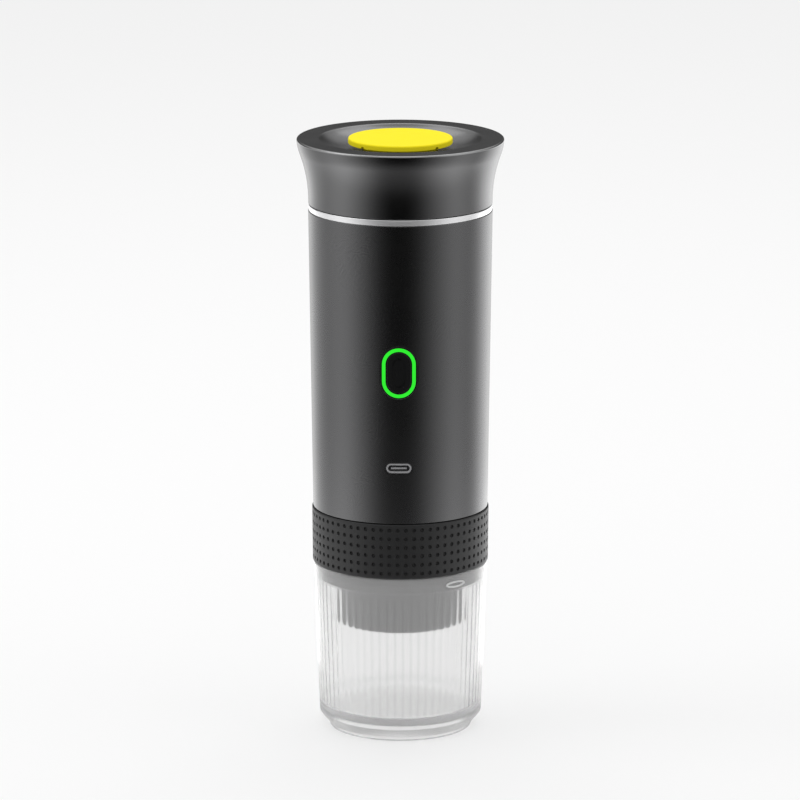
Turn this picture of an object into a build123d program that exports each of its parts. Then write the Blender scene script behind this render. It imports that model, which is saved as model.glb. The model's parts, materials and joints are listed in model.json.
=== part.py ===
from build123d import *
from math import sqrt
import os

# Portable coffee maker, standing on its cup. Millimetres, +Z up, the front with its button faces -Y.
# The origin is on the floor, on the axis of the round body. Every height is stacked from the floor up.

# Cup
cup_height = 69.5
cup_rim_radius = 35.4
cup_taper = 2.25
cup_turn_height = 6.0
cup_turn_rounding = 2.0
cup_wall = 2.0
cup_seat_wall = 1.8
cup_seat_depth = 6.9
cup_floor = 3.4
foot_step = 3.75
foot_height = 2.0
foot_wall = 2.4
foot_hollow = 6.2
foot_rounding = 1.2
foot_edge_rounding = 0.5
flute_count = 66
flute_depth = 0.4
flute_radius = 1.3
mark_angle = 40.6
mark_width = 9.8
mark_height = 2.8
mark_line = 0.8
mark_relief = 0.3
mark_drop = 3.8

# Seams, clearances and the plain rounding of moulded edges
cup_gap = 0.3
seam_gap = 0.3
spigot_clearance = 0.35
skin_fit = 0.05
frame_fit = 0.15
seal_squeeze_gap = 0.1
slide_clearance = 0.2
running_clearance = 0.05
part_gap = 0.3
loose_gap = 0.8
edge_rounding = 0.5

# Multi-start threads of the brew collar and of the lid
thread_lead = 12.0
thread_starts = 3
thread_span = 110.0
thread_depth = 1.2
thread_root = 1.6
thread_tip = 0.8
thread_clearance = 0.3
thread_bite = 0.3

# Brew collar, grip band and spout
band_height = 22.7
band_step = 0.45
band_overhang = 0.47
band_rounding = 0.5
collar_inset = 1.4
collar_wall = 2.9
collar_floor = 2.0
collar_floor_drop = 1.8
collar_thread_drop = 8.6
spigot_depth = 6.9
spigot_wall = 2.4
cup_seal_height = 2.0
cup_seal_depth = 1.2
spout_room = 2.05
spout_wall = 1.2
spout_length = 21.5
spout_floor = 1.5
spout_flange_width = 3.6
spout_flange = 1.5
nozzle_radius = 8.0

# Filter basket
basket_wall = 0.7
basket_flange_width = 3.3
basket_flange = 1.0
basket_lip = 1.6
drip_space = 2.5
screen_thickness = 0.5
screen_hole_radius = 0.8
screen_rings = 4
screen_hole_pitch = 4.2

# Brew head
head_gasket_height = 2.0
head_gasket_width = 3.0
head_wall = 3.0
head_floor = 3.0
head_flange = 3.0
shower_chamber = 0.8
shower_thickness = 0.6
shower_margin = 0.6
screw_head_radius = 1.7
screw_head_height = 1.3
screw_shank_radius = 1.0
screw_count = 4
screw_start_angle = 45
shell_seal_height = 1.4
shell_seal_depth = 1.0

# Body tube
shell_height = 122.7
shell_step = 0.25
shell_taper = 1.7
shell_wall = 1.2

# Chassis
deck_thickness = 2.5
front_post_side = 5.0
front_post_inset = 6.0
rear_post_radius = 3.0
rear_post_inset = 5.5
lead_slot_width = 10.0
lead_slot_depth = 4.0

# Cells
cell_radius = 9.2
cell_length = 65.2
cell_spacing_angle = 70
cell_shell_clearance = 1.9
cell_edge_rounding = 0.8
strip_thickness = 0.3
strip_width = 6.0
pad_height = 1.7
pad_margin = 1.5

# Main board and what is soldered to it
board_setback = 7.9
board_thickness = 1.6
board_edge_gap = 0.5
board_margin = 1.2
board_below_port = 12.0
board_screw_inset = 3.5
chip_height = 0.9
chip_side = 7.0
driver_side = 5.0
inductor_side = 8.0
inductor_height = 4.0
capacitor_radius = 2.5
capacitor_height = 5.5
connector_width = 11.0
connector_depth = 3.0
connector_height = 4.0
led_chip_width = 1.6
led_chip_height = 0.8
led_chip_thickness = 0.6
led_chip_rows = 4.0

# Button, its light ring and its switch
button_below_deck = 12.9
light_width = 14.0
light_height = 20.9
light_line = 1.85
light_depth = 4.0
light_flange_width = 1.5
light_gasket_thickness = 0.6
button_flange_width = 0.6
button_flange = 1.0
button_travel = 0.6
switch_side = 6.0
switch_body_height = 1.6
switch_stem_radius = 1.25

# Charging port
port_height = 23.2
bezel_width = 10.55
bezel_height = 4.2
bezel_line = 0.82
bezel_depth = 1.7
socket_wall = 0.3
socket_step = 0.02
tongue_width = 6.4
tongue_thickness = 0.7
tongue_base = 1.0
tongue_setback = 0.4

# Pump
pump_room = 2.2
yoke_wall = 1.2
yoke_plate = 1.5
yoke_height = 38.0
yoke_window_width = 12.0
yoke_window_height = 6.0
tube_radius = 5.0
tube_bore = 4.05
tube_overhang = 10.0
tube_end = 3.0
barb_radius = 2.4
barb_bore = 1.2
barb_length = 12.0
barb_gap = 4.0
mount_wall = 4.0
web_thickness = 1.5
web_hole_radius = 1.8
valve_room = 10.0
valve_radius = 3.3
valve_disc = 1.2
valve_stem_radius = 1.0
valve_stem = 2.0
plunger_length = 22.0
plunger_bore = 1.2
spring_wire = 0.4
spring_radius = 3.0
spring_turns = 4
valve_spring_wire = 0.3
valve_spring_radius = 2.2
valve_spring_turns = 5

# Hoses
hose_wall = 1.5
hose_grip = 6.0
hose_fit = 0.05
clip_width = 2.5
clip_thickness = 0.6
clip_inset = 1.0

# Tank and heater
heater_bay = 14.0
heater_inset = 4.7
heater_thickness = 3.0
thermostat_radius = 7.0
thermostat_height = 6.0
thermostat_offset = 14.0
sensor_radius = 1.6
sensor_height = 5.0
sensor_offset = 12.0
tank_wall = 0.8
tank_flange = 0.8
tank_gasket_height = 0.8
tank_floor_rounding = 4.0
tank_outlet_bore = 1.6
insulation_gap = 1.9
tank_filter_radius = 6.0
tank_filter_thickness = 0.8

# Neck and trim ring
trim_height = 2.4
trim_inset = 0.1
trim_width = 2.3
trim_rounding = 0.25
shoulder_drop = 0.2
collar_flange = 2.5
neck_wall = 1.2
neck_thread_rise = 3.6

# Lid
lid_gap = 0.3
lid_height = 26.5
lid_waist_inset = 0.05
lid_flare = 3.45
lid_brim = 1.25
lid_straight = 0.8
lid_flare_drop = 6.3
lid_rim_drop = 0.8
lid_skirt_wall = 2.4
lid_edge_rounding = 0.7
lid_floor = 2.1
dish_depth = 4.5
lid_land = 6.5
dish_margin = 1.25
liner_wall = 2.15
liner_roof = 2.0
liner_lift = 0.3
lid_gasket_height = 2.0
lid_gasket_width = 2.6
filler_hole_radius = 14.2

# Plug
plug_radius = 21.15
plug_thickness = 2.4
plug_proud = 0.3
plug_rounding = 0.7
plug_foot_radius = 15.2
notch_count = 4
notch_radius = 1.0
notch_length = 2.4
notch_start_angle = 45

# Wires
wire_radius = 0.8
wire_bend = 3.0
heater_lead_offset = 3.0
heater_lead_run = 8.0
pump_lead_offset = 4.0
battery_lead_reach = 9.0
battery_lead_rise = 9.7

# Heights of the joints between the pieces
cup_floor_z = foot_hollow + cup_floor
cup_seat_z = cup_height - cup_seat_depth
band_z = cup_height + cup_gap
band_top_z = band_z + band_height
collar_floor_z = band_z - collar_floor_drop
spout_z = collar_floor_z - collar_floor - spout_length
basket_z = spout_z + spout_floor + drip_space
flange_z = collar_floor_z + basket_flange
head_z = flange_z + head_gasket_height
shell_z = band_top_z + seam_gap
deck_z = shell_z + head_flange
bay_z = deck_z + deck_thickness
bay_height = cell_length + 2 * strip_thickness + pad_height
upper_deck_z = bay_z + bay_height
upper_deck_top_z = upper_deck_z + deck_thickness
button_z = upper_deck_top_z - button_below_deck
yoke_z = bay_z + (bay_height - yoke_height) / 2
tube_z = yoke_z - tube_overhang
tube_top_z = yoke_z + yoke_height + tube_overhang
outlet_barb_z = tube_z - barb_length
head_barb_top_z = outlet_barb_z - barb_gap
inlet_barb_top_z = tube_top_z + barb_length
tank_outlet_z = inlet_barb_top_z + barb_gap
heater_z = upper_deck_top_z + heater_bay
tank_z = heater_z + heater_thickness
shell_top_z = shell_z + shell_height
trim_top_z = shell_top_z + trim_height
lid_z = trim_top_z + lid_gap
rim_z = lid_z + lid_height
dish_z = rim_z - dish_depth
liner_top_z = dish_z - lid_floor
roof_z = liner_top_z - liner_roof
tank_top_z = roof_z - lid_gasket_height
neck_top_z = tank_top_z - tank_flange - tank_gasket_height
port_z = shell_z + port_height

# Radii that follow from their neighbours, from the cup outwards and upwards
cup_turn_radius = cup_rim_radius - cup_taper
foot_radius = cup_turn_radius - foot_step
cup_seat_radius = cup_rim_radius - cup_seat_wall
spigot_radius = cup_seat_radius - spigot_clearance
band_bottom_radius = cup_rim_radius + band_overhang
shell_bottom_radius = cup_rim_radius + shell_step
shell_top_radius = shell_bottom_radius + shell_taper
band_top_radius = shell_bottom_radius + band_step
collar_radius = cup_rim_radius - collar_inset
collar_bore = collar_radius - collar_wall
head_neck_radius = collar_bore - thread_depth - thread_clearance
head_bore = head_neck_radius - head_wall
spout_radius = spigot_radius - spigot_wall - spout_room - spout_flange_width
basket_radius = spout_radius - spout_wall - part_gap
basket_bore = basket_radius - basket_wall
gasket_outer_radius = basket_radius + basket_flange_width - part_gap
gasket_inner_radius = gasket_outer_radius - head_gasket_width
hose_radius = barb_radius + hose_fit + hose_wall
trim_radius = shell_top_radius - trim_inset
trim_bore = trim_radius - trim_width
shoulder_radius = trim_bore - skin_fit
lid_waist_radius = shell_top_radius - lid_waist_inset
lid_flare_radius = lid_waist_radius + lid_flare
lid_rim_radius = lid_flare_radius + lid_brim
dish_edge_radius = lid_rim_radius - lid_land
dish_floor_radius = plug_radius + dish_margin
lid_bore = lid_waist_radius - lid_skirt_wall
liner_radius = lid_bore - skin_fit
liner_bore = liner_radius - liner_wall
neck_radius = liner_bore - thread_depth - thread_clearance
neck_bore = neck_radius - neck_wall
tank_radius = neck_bore - part_gap
tank_bore = tank_radius - tank_wall
heater_radius = tank_radius - heater_inset
screw_circle = head_neck_radius + screw_head_radius + seal_squeeze_gap
thread_pitch = thread_lead / thread_starts
base_align = (Align.CENTER, Align.CENTER, Align.MIN)


def shell_radius(height):
    """Outer radius of the slightly tapered body tube at a height."""
    share = (height - shell_z) / shell_height
    return shell_bottom_radius + share * (shell_top_radius - shell_bottom_radius)


def shell_inner_radius(height):
    return shell_radius(height) - shell_wall


# Places that follow from the tapered body tube
cell_circle = shell_inner_radius(bay_z) - cell_radius - cell_shell_clearance
yoke_radius = cell_circle - cell_radius - pump_room
board_bottom_z = port_z - board_below_port
board_top_z = button_z + light_height / 2 + board_margin
board_front = shell_radius(button_z) - board_setback
board_reach = board_front - board_thickness
board_corner_radius = shell_inner_radius(board_bottom_z) - board_edge_gap
board_width = 2 * sqrt(board_corner_radius**2 - board_front**2)
post_x = board_width / 2 - front_post_inset + front_post_side / 2
light_back = shell_radius(button_z) - light_depth
button_back = light_back - seal_squeeze_gap - button_flange
bezel_back = shell_radius(port_z) - bezel_depth
heater_lead_reach = board_reach - heater_lead_run
battery_lead_offset = post_x - front_post_side / 2 - wire_radius - loose_gap


def shell_cone(inset):
    """Solid inside the body tube's outer surface, drawn in by an inset."""
    cone = Cone(shell_bottom_radius - inset, shell_top_radius - inset, shell_height, align=base_align)
    return Pos(0, 0, shell_z) * cone


def disc(radius, bottom, top):
    return Pos(0, 0, bottom) * Cylinder(radius, top - bottom, align=base_align)


def ring(outer, inner, bottom, top):
    return disc(outer, bottom, top) - disc(inner, bottom, top)


def turned(*corners):
    """Solid of revolution from corners (radius, height) or (radius, height, rounding)."""
    points = [corner[:2] for corner in corners]
    roundings = [corner[2] if len(corner) > 2 else 0 for corner in corners]
    outline = FilletPolyline(*points, radius=roundings, close=True)
    return revolve(Plane.XZ * make_face(outline), Axis.Z)


def stadium(width, height):
    if width > height:
        return SlotOverall(width, height)
    return SlotOverall(height, width, rotation=90)


def front_prism(sketch, height, back, front):
    """Sketch at a height on the front side, drawn out between two distances from the axis."""
    return extrude(Plane.XZ.offset(back) * Pos(0, height) * sketch, amount=front - back)


def front_box(x, height, width, tall, back, front):
    return front_prism(Pos(x, 0) * Rectangle(width, tall), height, back, front)


def thread_ridges(root_radius, tip_radius, start_height):
    """Short helical ridges of a multi-start thread, standing on a root radius."""
    outward = 1 if tip_radius > root_radius else -1
    foot = root_radius - outward * thread_bite
    half_root = thread_root / 2
    half_tip = thread_tip / 2
    corners = [(foot, -half_root), (tip_radius, -half_tip), (tip_radius, half_tip), (foot, half_root)]
    section = Plane.XZ * make_face(Polyline(*corners, close=True))
    path = Helix(pitch=thread_lead, height=thread_lead * thread_span / 360, radius=root_radius)
    ridge = Pos(0, 0, start_height) * sweep(section, path=path, is_frenet=True)
    return [Rot(0, 0, 360 * start / thread_starts) * ridge for start in range(thread_starts)]


def perforated(radius, bottom, thickness, rings, pitch, hole_radius):
    """Flat screen with holes on concentric circles, six more on each."""
    holes = [disc(hole_radius, bottom, bottom + thickness)]
    for number in range(1, rings + 1):
        for place in PolarLocations(number * pitch, 6 * number):
            holes.append(place * disc(hole_radius, bottom, bottom + thickness))
    return disc(radius, bottom, bottom + thickness) - holes


def coil_spring(radius, wire, turns, bottom, top):
    margin = wire + running_clearance
    height = top - bottom - 2 * margin
    helix = Helix(pitch=height / turns, height=height, radius=radius)
    path = Pos(0, 0, bottom + margin) * helix
    section = Plane(origin=path @ 0, z_dir=path % 0) * Circle(wire)
    return sweep(section, path=path, is_frenet=True)


def wire(*points):
    route = FilletPolyline(*points, radius=wire_bend) if len(points) > 2 else Line(*points)
    section = Plane(origin=route @ 0, z_dir=route % 0) * Circle(wire_radius)
    return sweep(section, path=route)


def cup_outer_radius(height):
    share = (height - cup_turn_height) / (cup_height - cup_turn_height)
    return cup_turn_radius + share * (cup_rim_radius - cup_turn_radius)


def make_cup():
    wall_top = cup_outer_radius(cup_seat_z) - cup_wall
    wall_bottom = cup_outer_radius(cup_floor_z) - cup_wall
    cup = turned(
        (foot_radius, 0, foot_edge_rounding),
        (foot_radius, foot_height, foot_rounding),
        (cup_turn_radius, cup_turn_height, cup_turn_rounding),
        (cup_rim_radius, cup_height, edge_rounding),
        (cup_seat_radius, cup_height, edge_rounding),
        (cup_seat_radius, cup_seat_z),
        (wall_top, cup_seat_z),
        (wall_bottom, cup_floor_z, foot_rounding),
        (0, cup_floor_z),
        (0, foot_hollow),
        (foot_radius - foot_wall, foot_hollow),
        (foot_radius - foot_wall, 0, edge_rounding),
    )
    inward = flute_radius - flute_depth
    start = Vector(wall_bottom - inward, 0, cup_floor_z + foot_rounding)
    end = Vector(wall_top - inward, 0, cup_seat_z + flute_depth)
    groove_plane = Plane(origin=start, z_dir=end - start)
    groove = extrude(groove_plane * Circle(flute_radius), amount=(end - start).length)
    grooves = [Rot(0, 0, 360 * number / flute_count) * groove for number in range(flute_count)]
    return cup - grooves + cup_mark()


def cup_mark():
    """Raised oval outline on the smooth zone under the rim."""
    oval = Ellipse(mark_width / 2, mark_height / 2)
    hollow = Ellipse(mark_width / 2 - mark_line, mark_height / 2 - mark_line)
    height = cup_height - mark_drop
    prism = front_prism(oval - hollow, height, foot_radius, cup_rim_radius + mark_relief)
    surface = cup_outer_radius(height)
    skin = ring(surface + mark_relief, surface - mark_relief, height - mark_height, height + mark_height)
    return Rot(0, 0, mark_angle) * (prism & skin)


def seal_groove_z():
    return band_z - spigot_depth / 2 - cup_seal_height / 2


def make_brew_collar():
    spigot_z = band_z - spigot_depth
    body = turned(
        (spigot_radius, spigot_z, edge_rounding),
        (spigot_radius, band_z),
        (collar_radius, band_z),
        (collar_radius, band_top_z - seam_gap, edge_rounding),
        (collar_bore, band_top_z - seam_gap, edge_rounding),
        (collar_bore, collar_floor_z),
        (spout_radius - spout_wall, collar_floor_z),
        (spout_radius - spout_wall, collar_floor_z - collar_floor),
        (spigot_radius - spigot_wall, collar_floor_z - collar_floor),
        (spigot_radius - spigot_wall, spigot_z),
    )
    groove = seal_groove_z()
    groove_top = groove + cup_seal_height
    body -= ring(spigot_radius + cup_seal_depth, spigot_radius - cup_seal_depth, groove, groove_top)
    start = band_top_z - collar_thread_drop - thread_pitch / 2
    return body + thread_ridges(collar_bore, collar_bore - thread_depth, start)


def make_cup_seal():
    groove = seal_groove_z()
    outer = cup_seat_radius - seal_squeeze_gap
    inner = spigot_radius - cup_seal_depth
    middle = groove + cup_seal_height / 2
    return turned(
        (inner, groove),
        (spigot_radius, groove),
        (outer, middle, edge_rounding),
        (spigot_radius, groove + cup_seal_height),
        (inner, groove + cup_seal_height),
    )


def make_grip_sleeve():
    inner = collar_radius + skin_fit
    return turned(
        (inner, band_z),
        (band_bottom_radius, band_z, band_rounding),
        (band_top_radius, band_top_z, band_rounding),
        (inner, band_top_z),
    )


def make_spout_housing():
    inner = spout_radius - spout_wall
    top = collar_floor_z - collar_floor
    return turned(
        (nozzle_radius, spout_z),
        (spout_radius, spout_z, edge_rounding),
        (spout_radius, top - spout_flange),
        (spout_radius + spout_flange_width, top - spout_flange),
        (spout_radius + spout_flange_width, top),
        (inner, top),
        (inner, spout_z + spout_floor),
        (nozzle_radius, spout_z + spout_floor),
    )


def make_filter_basket():
    return turned(
        (basket_bore - basket_lip, basket_z),
        (basket_radius, basket_z, basket_wall),
        (basket_radius, collar_floor_z),
        (basket_radius + basket_flange_width, collar_floor_z),
        (basket_radius + basket_flange_width, flange_z),
        (basket_bore, flange_z),
        (basket_bore, basket_z + basket_wall),
        (basket_bore - basket_lip, basket_z + basket_wall),
    )


def make_basket_screen():
    bottom = basket_z + basket_wall
    radius = basket_bore - skin_fit
    return perforated(radius, bottom, screen_thickness, screen_rings, screen_hole_pitch, screen_hole_radius)


def make_head_gasket():
    return ring(gasket_outer_radius, gasket_inner_radius, flange_z, head_z)


def screw_places(radius):
    return PolarLocations(radius, screw_count, start_angle=screw_start_angle)


def make_brew_head():
    shower_radius = gasket_inner_radius - shower_margin
    flange_radius = shell_inner_radius(shell_z) - frame_fit
    head_top = shell_z + head_flange
    body = turned(
        (0, head_z),
        (head_neck_radius, head_z, edge_rounding),
        (head_neck_radius, shell_z),
        (flange_radius, shell_z),
        (flange_radius, head_top),
        (head_bore, head_top),
        (head_bore, head_z + head_floor),
        (0, head_z + head_floor),
    )
    body += disc(barb_radius, head_z + head_floor, head_barb_top_z)
    body -= disc(barb_bore, head_z, head_barb_top_z)
    body -= disc(shower_radius, head_z, head_z + shower_chamber + shower_thickness)
    seal_z = shell_z + (head_flange - shell_seal_height) / 2
    seal_inner = flange_radius - shell_seal_depth
    body -= ring(flange_radius + shell_seal_depth, seal_inner, seal_z, seal_z + shell_seal_height)
    for place in screw_places(screw_circle):
        body -= place * disc(screw_head_radius + running_clearance, shell_z, shell_z + screw_head_height)
        body -= place * disc(screw_shank_radius + running_clearance, shell_z, head_top)
    start = band_top_z - collar_thread_drop
    return body + thread_ridges(head_neck_radius, head_neck_radius + thread_depth, start)


def make_shower_screen():
    radius = gasket_inner_radius - shower_margin - skin_fit
    return perforated(radius, head_z, shower_thickness, screen_rings, screen_hole_pitch, screen_hole_radius)


def make_shell_seal():
    flange_radius = shell_inner_radius(shell_z) - frame_fit
    bottom = shell_z + (head_flange - shell_seal_height) / 2
    outer = shell_inner_radius(shell_z) - running_clearance
    return ring(outer, flange_radius - shell_seal_depth, bottom, bottom + shell_seal_height)


def make_head_screws():
    tip = bay_z - part_gap
    screw = disc(screw_head_radius, shell_z, shell_z + screw_head_height)
    screw += disc(screw_shank_radius, shell_z + screw_head_height, tip)
    screw -= hexagon_recess(shell_z)
    return Compound(children=[place * screw for place in screw_places(screw_circle)])


def hexagon_recess(bottom):
    """Hexagon recess in a screw head that opens downwards."""
    depth = screw_head_height / 2
    return Pos(0, 0, bottom) * extrude(RegularPolygon(screw_shank_radius / 2, 6), amount=depth)


def cell_places():
    """Right, rear and left cell, seen from above."""
    middle = 90
    return [
        Rot(0, 0, middle + step * cell_spacing_angle) * Pos(cell_circle, 0)
        for step in (-1, 0, 1)
    ]


def make_chassis():
    hose_hole = hose_radius + loose_gap
    rear_post_circle = shell_inner_radius(bay_z) - rear_post_inset
    lower = disc(shell_inner_radius(deck_z) - frame_fit, deck_z, bay_z)
    upper = disc(shell_inner_radius(upper_deck_z) - frame_fit, upper_deck_z, upper_deck_top_z)
    slot = Box(lead_slot_width, lead_slot_depth, deck_thickness, align=base_align)
    upper -= Pos(0, -heater_lead_reach, upper_deck_z) * slot
    frame = lower + upper - disc(hose_hole, deck_z, upper_deck_top_z)
    frame -= front_box(0, deck_z, 2 * shell_top_radius, 3 * shell_height, board_reach, 2 * board_reach)
    for side in (-1, 1):
        front_post = Box(front_post_side, front_post_side, bay_height, align=base_align)
        frame += Pos(side * post_x, front_post_side / 2 - board_reach, bay_z) * front_post
        rear_angle = 90 + side * cell_spacing_angle / 2
        rear_post = disc(rear_post_radius, bay_z, upper_deck_z)
        frame += Rot(0, 0, rear_angle) * Pos(rear_post_circle, 0) * rear_post
    for place in screw_places(screw_circle):
        frame -= place * disc(screw_shank_radius + running_clearance, deck_z, bay_z)
    for side, height in board_screw_places():
        hole = Pos(side * post_x, 0) * Circle(screw_shank_radius + running_clearance)
        frame -= front_prism(hole, height, board_reach - front_post_side, board_reach)
    return frame


def make_outer_shell():
    shell = shell_cone(0) - shell_cone(shell_wall)
    reach = shell_top_radius
    hole = stadium(light_width + 2 * part_gap, light_height + 2 * part_gap)
    shell -= front_prism(hole, button_z, board_reach, reach + part_gap)
    port = stadium(bezel_width + 2 * skin_fit, bezel_height + 2 * skin_fit)
    return shell - front_prism(port, port_z, board_reach, reach)


def make_cell():
    cell = disc(cell_radius, bay_z + strip_thickness, bay_z + strip_thickness + cell_length)
    return fillet(cell.edges(), cell_edge_rounding)


def strip(start, end, bottom):
    """Nickel strip between two points, welded under or over the cells."""
    span = Vector(*end) - Vector(*start)
    middle = (Vector(*end) + Vector(*start)) * 0.5
    bar = Box(span.length + strip_width, strip_width, strip_thickness, align=base_align)
    turn = Vector(1, 0).get_signed_angle(span, Vector(0, 0, 1))
    return Pos(middle.X, middle.Y, bottom) * Rot(0, 0, turn) * bar


def make_cell_strips():
    right, rear, left = [place.position for place in cell_places()]
    top_z = bay_z + strip_thickness + cell_length
    lead = [(side * battery_lead_offset, -battery_lead_reach) for side in (-1, 1)]
    first = strip((left.X, left.Y), lead[0], bay_z)
    second = strip((rear.X, rear.Y), (right.X, right.Y), bay_z) + strip((right.X, right.Y), lead[1], bay_z)
    third = strip((left.X, left.Y), (rear.X, rear.Y), top_z)
    return Compound(children=[first, second, third])


def make_cell_pads():
    bottom = bay_z + 2 * strip_thickness + cell_length
    pad = disc(cell_radius - pad_margin, bottom, upper_deck_z)
    return Compound(children=[place * pad for place in cell_places()])


def board_screw_places():
    heights = (board_bottom_z + board_screw_inset, board_top_z - board_screw_inset)
    return [(side, height) for side in (-1, 1) for height in heights]


def make_main_board():
    middle = (board_bottom_z + board_top_z) / 2
    board = front_box(0, middle, board_width, board_top_z - board_bottom_z, board_reach, board_front)
    for side, height in board_screw_places():
        hole = Pos(side * post_x, 0) * Circle(screw_shank_radius + running_clearance)
        board -= front_prism(hole, height, board_reach, board_front)
    return board


def make_board_screws():
    screws = []
    for side, height in board_screw_places():
        shank = Pos(side * post_x, 0) * Circle(screw_shank_radius)
        head = Pos(side * post_x, 0) * Circle(screw_head_radius)
        screw = front_prism(shank, height, board_reach - front_post_side + part_gap, board_front)
        screws.append(screw + front_prism(head, height, board_front, board_front + screw_head_height))
    return Compound(children=screws)


def make_board_components():
    middle = (port_z + button_z) / 2
    chips = [
        front_box(-chip_side, middle, chip_side, chip_side, board_front, board_front + chip_height),
        front_box(chip_side, middle, driver_side, driver_side, board_front, board_front + chip_height),
        front_box(0, middle, driver_side, driver_side, board_front, board_front + chip_height),
    ]
    back = board_reach - inductor_height
    coil = front_box(-chip_side, port_z, inductor_side, inductor_side, back, board_reach)
    capacitors = [
        front_prism(Pos(x, 0) * Circle(capacitor_radius), port_z, board_reach - capacitor_height, board_reach)
        for x in (chip_side / 2, chip_side / 2 + 2 * capacitor_radius + loose_gap)
    ]
    plug_back = board_reach - connector_depth
    plug = front_box(0, button_z, connector_width, connector_height, plug_back, board_reach)
    return Compound(children=[*chips, coil, *capacitors, plug])


def make_status_leds():
    """Small lamps on the board behind the light ring."""
    half_width = (light_width - light_line) / 2
    half_height = (light_height - light_line) / 2
    places = [(0, half_height), (0, -half_height)]
    places += [(x * half_width, z * led_chip_rows) for x in (-1, 1) for z in (-1, 1)]
    front = board_front + led_chip_thickness
    chips = [
        front_box(x, button_z + z, led_chip_width, led_chip_height, board_front, front)
        for x, z in places
    ]
    return Compound(children=chips)


def make_tact_switch():
    front = board_front + switch_body_height
    body = front_box(0, button_z, switch_side, switch_side, board_front, front)
    return body - front_prism(Circle(switch_stem_radius + skin_fit), button_z, board_front, front)


def make_switch_plunger():
    back = board_front + button_travel + running_clearance
    return front_prism(Circle(switch_stem_radius), button_z, back, button_back)


def make_button_cap():
    width = light_width - 2 * (light_line + slide_clearance)
    height = light_height - 2 * (light_line + slide_clearance)
    reach = shell_top_radius
    cap = front_prism(stadium(width, height), button_z, button_back, reach) & shell_cone(0)
    grow = 2 * (slide_clearance + button_flange_width)
    rim = stadium(width + grow, height + grow)
    return cap + front_prism(rim, button_z, button_back, button_back + button_flange)


def make_led_ring():
    outer = stadium(light_width, light_height)
    inner = stadium(light_width - 2 * light_line, light_height - 2 * light_line)
    grow = 2 * (light_flange_width + part_gap)
    rim = stadium(light_width + grow, light_height + grow)
    reach = shell_top_radius
    body = front_prism(outer, button_z, light_back, reach) & shell_cone(0)
    flange_inset = shell_wall + light_gasket_thickness + 2 * running_clearance
    body += front_prism(rim, button_z, light_back, reach) & shell_cone(flange_inset)
    return body - front_prism(inner, button_z, light_back, reach)


def make_button_gasket():
    grow = 2 * (light_flange_width + part_gap)
    outer = stadium(light_width + grow, light_height + grow)
    inner = stadium(light_width + 2 * part_gap, light_height + 2 * part_gap)
    slab = front_prism(outer - inner, button_z, light_back, shell_top_radius)
    front = shell_cone(shell_wall + running_clearance)
    return slab & (front - shell_cone(shell_wall + running_clearance + light_gasket_thickness))


def make_usb_bezel():
    hollow = stadium(bezel_width - 2 * bezel_line, bezel_height - 2 * bezel_line)
    outline = stadium(bezel_width, bezel_height) - hollow
    return front_prism(outline, port_z, bezel_back, shell_top_radius) & shell_cone(0)


def socket_opening():
    width = bezel_width - 2 * (bezel_line + socket_wall)
    height = bezel_height - 2 * bezel_line - socket_step
    return width, height


def make_usb_shell():
    width, height = socket_opening()
    outline = stadium(width + 2 * socket_wall, height + 2 * socket_wall) - stadium(width, height)
    return front_prism(outline, port_z, board_front, bezel_back - running_clearance)


def make_usb_tongue():
    width, height = socket_opening()
    base = stadium(width - 2 * running_clearance, height - 2 * running_clearance)
    tongue = front_prism(base, port_z, board_front, board_front + tongue_base)
    front = shell_radius(port_z) - tongue_setback
    return tongue + front_box(0, port_z, tongue_width, tongue_thickness, board_front, front)


def make_pump_body():
    bore_z = tube_z + tube_end
    bore_top = tube_top_z - tube_end
    web_z = bore_z + valve_room
    body = disc(tube_radius, tube_z, tube_top_z)
    body += disc(barb_radius, outlet_barb_z, inlet_barb_top_z)
    body -= disc(tube_bore, bore_z, web_z)
    body -= disc(tube_bore, web_z + web_thickness, bore_top)
    body -= disc(web_hole_radius, web_z, web_z + web_thickness)
    return body - disc(barb_bore, outlet_barb_z, bore_z) - disc(barb_bore, bore_top, inlet_barb_top_z)


def web_top_z():
    return tube_z + tube_end + valve_room + web_thickness


def plunger_z():
    chamber = tube_top_z - tube_end - web_top_z()
    return web_top_z() + (chamber - plunger_length) / 2


def make_pump_plunger():
    radius = tube_bore - running_clearance
    return ring(radius, plunger_bore, plunger_z(), plunger_z() + plunger_length)


def make_valve_poppet():
    top = tube_z + tube_end + valve_room - running_clearance
    disc_z = top - valve_disc
    return disc(valve_radius, disc_z, top) + disc(valve_stem_radius, disc_z - valve_stem, disc_z)


def make_valve_spring():
    top = tube_z + tube_end + valve_room - running_clearance - valve_disc
    return coil_spring(valve_spring_radius, valve_spring_wire, valve_spring_turns, tube_z + tube_end, top)


def make_return_spring():
    return coil_spring(spring_radius, spring_wire, spring_turns, web_top_z(), plunger_z())


def make_buffer_spring():
    bottom = plunger_z() + plunger_length
    return coil_spring(spring_radius, spring_wire, spring_turns, bottom, tube_top_z - tube_end)


def make_pump_yoke():
    top = yoke_z + yoke_height
    frame = disc(yoke_radius, yoke_z, top)
    frame -= disc(yoke_radius - yoke_wall, yoke_z + yoke_plate, top - yoke_plate)
    frame -= disc(tube_radius + running_clearance, yoke_z, top)
    middle = yoke_z + yoke_height / 2
    return frame - front_box(0, middle, yoke_window_width, yoke_window_height, tube_radius, yoke_radius)


def make_pump_coil():
    bottom = yoke_z + yoke_plate + running_clearance
    top = yoke_z + yoke_height - yoke_plate - running_clearance
    return ring(yoke_radius - yoke_wall - running_clearance, tube_radius + running_clearance, bottom, top)


def pump_mount(bottom, top):
    bore = tube_radius + running_clearance
    return ring(bore + mount_wall, bore, bottom, top)


def hose(bottom, top):
    return ring(hose_radius, barb_radius + hose_fit, bottom, top)


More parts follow.
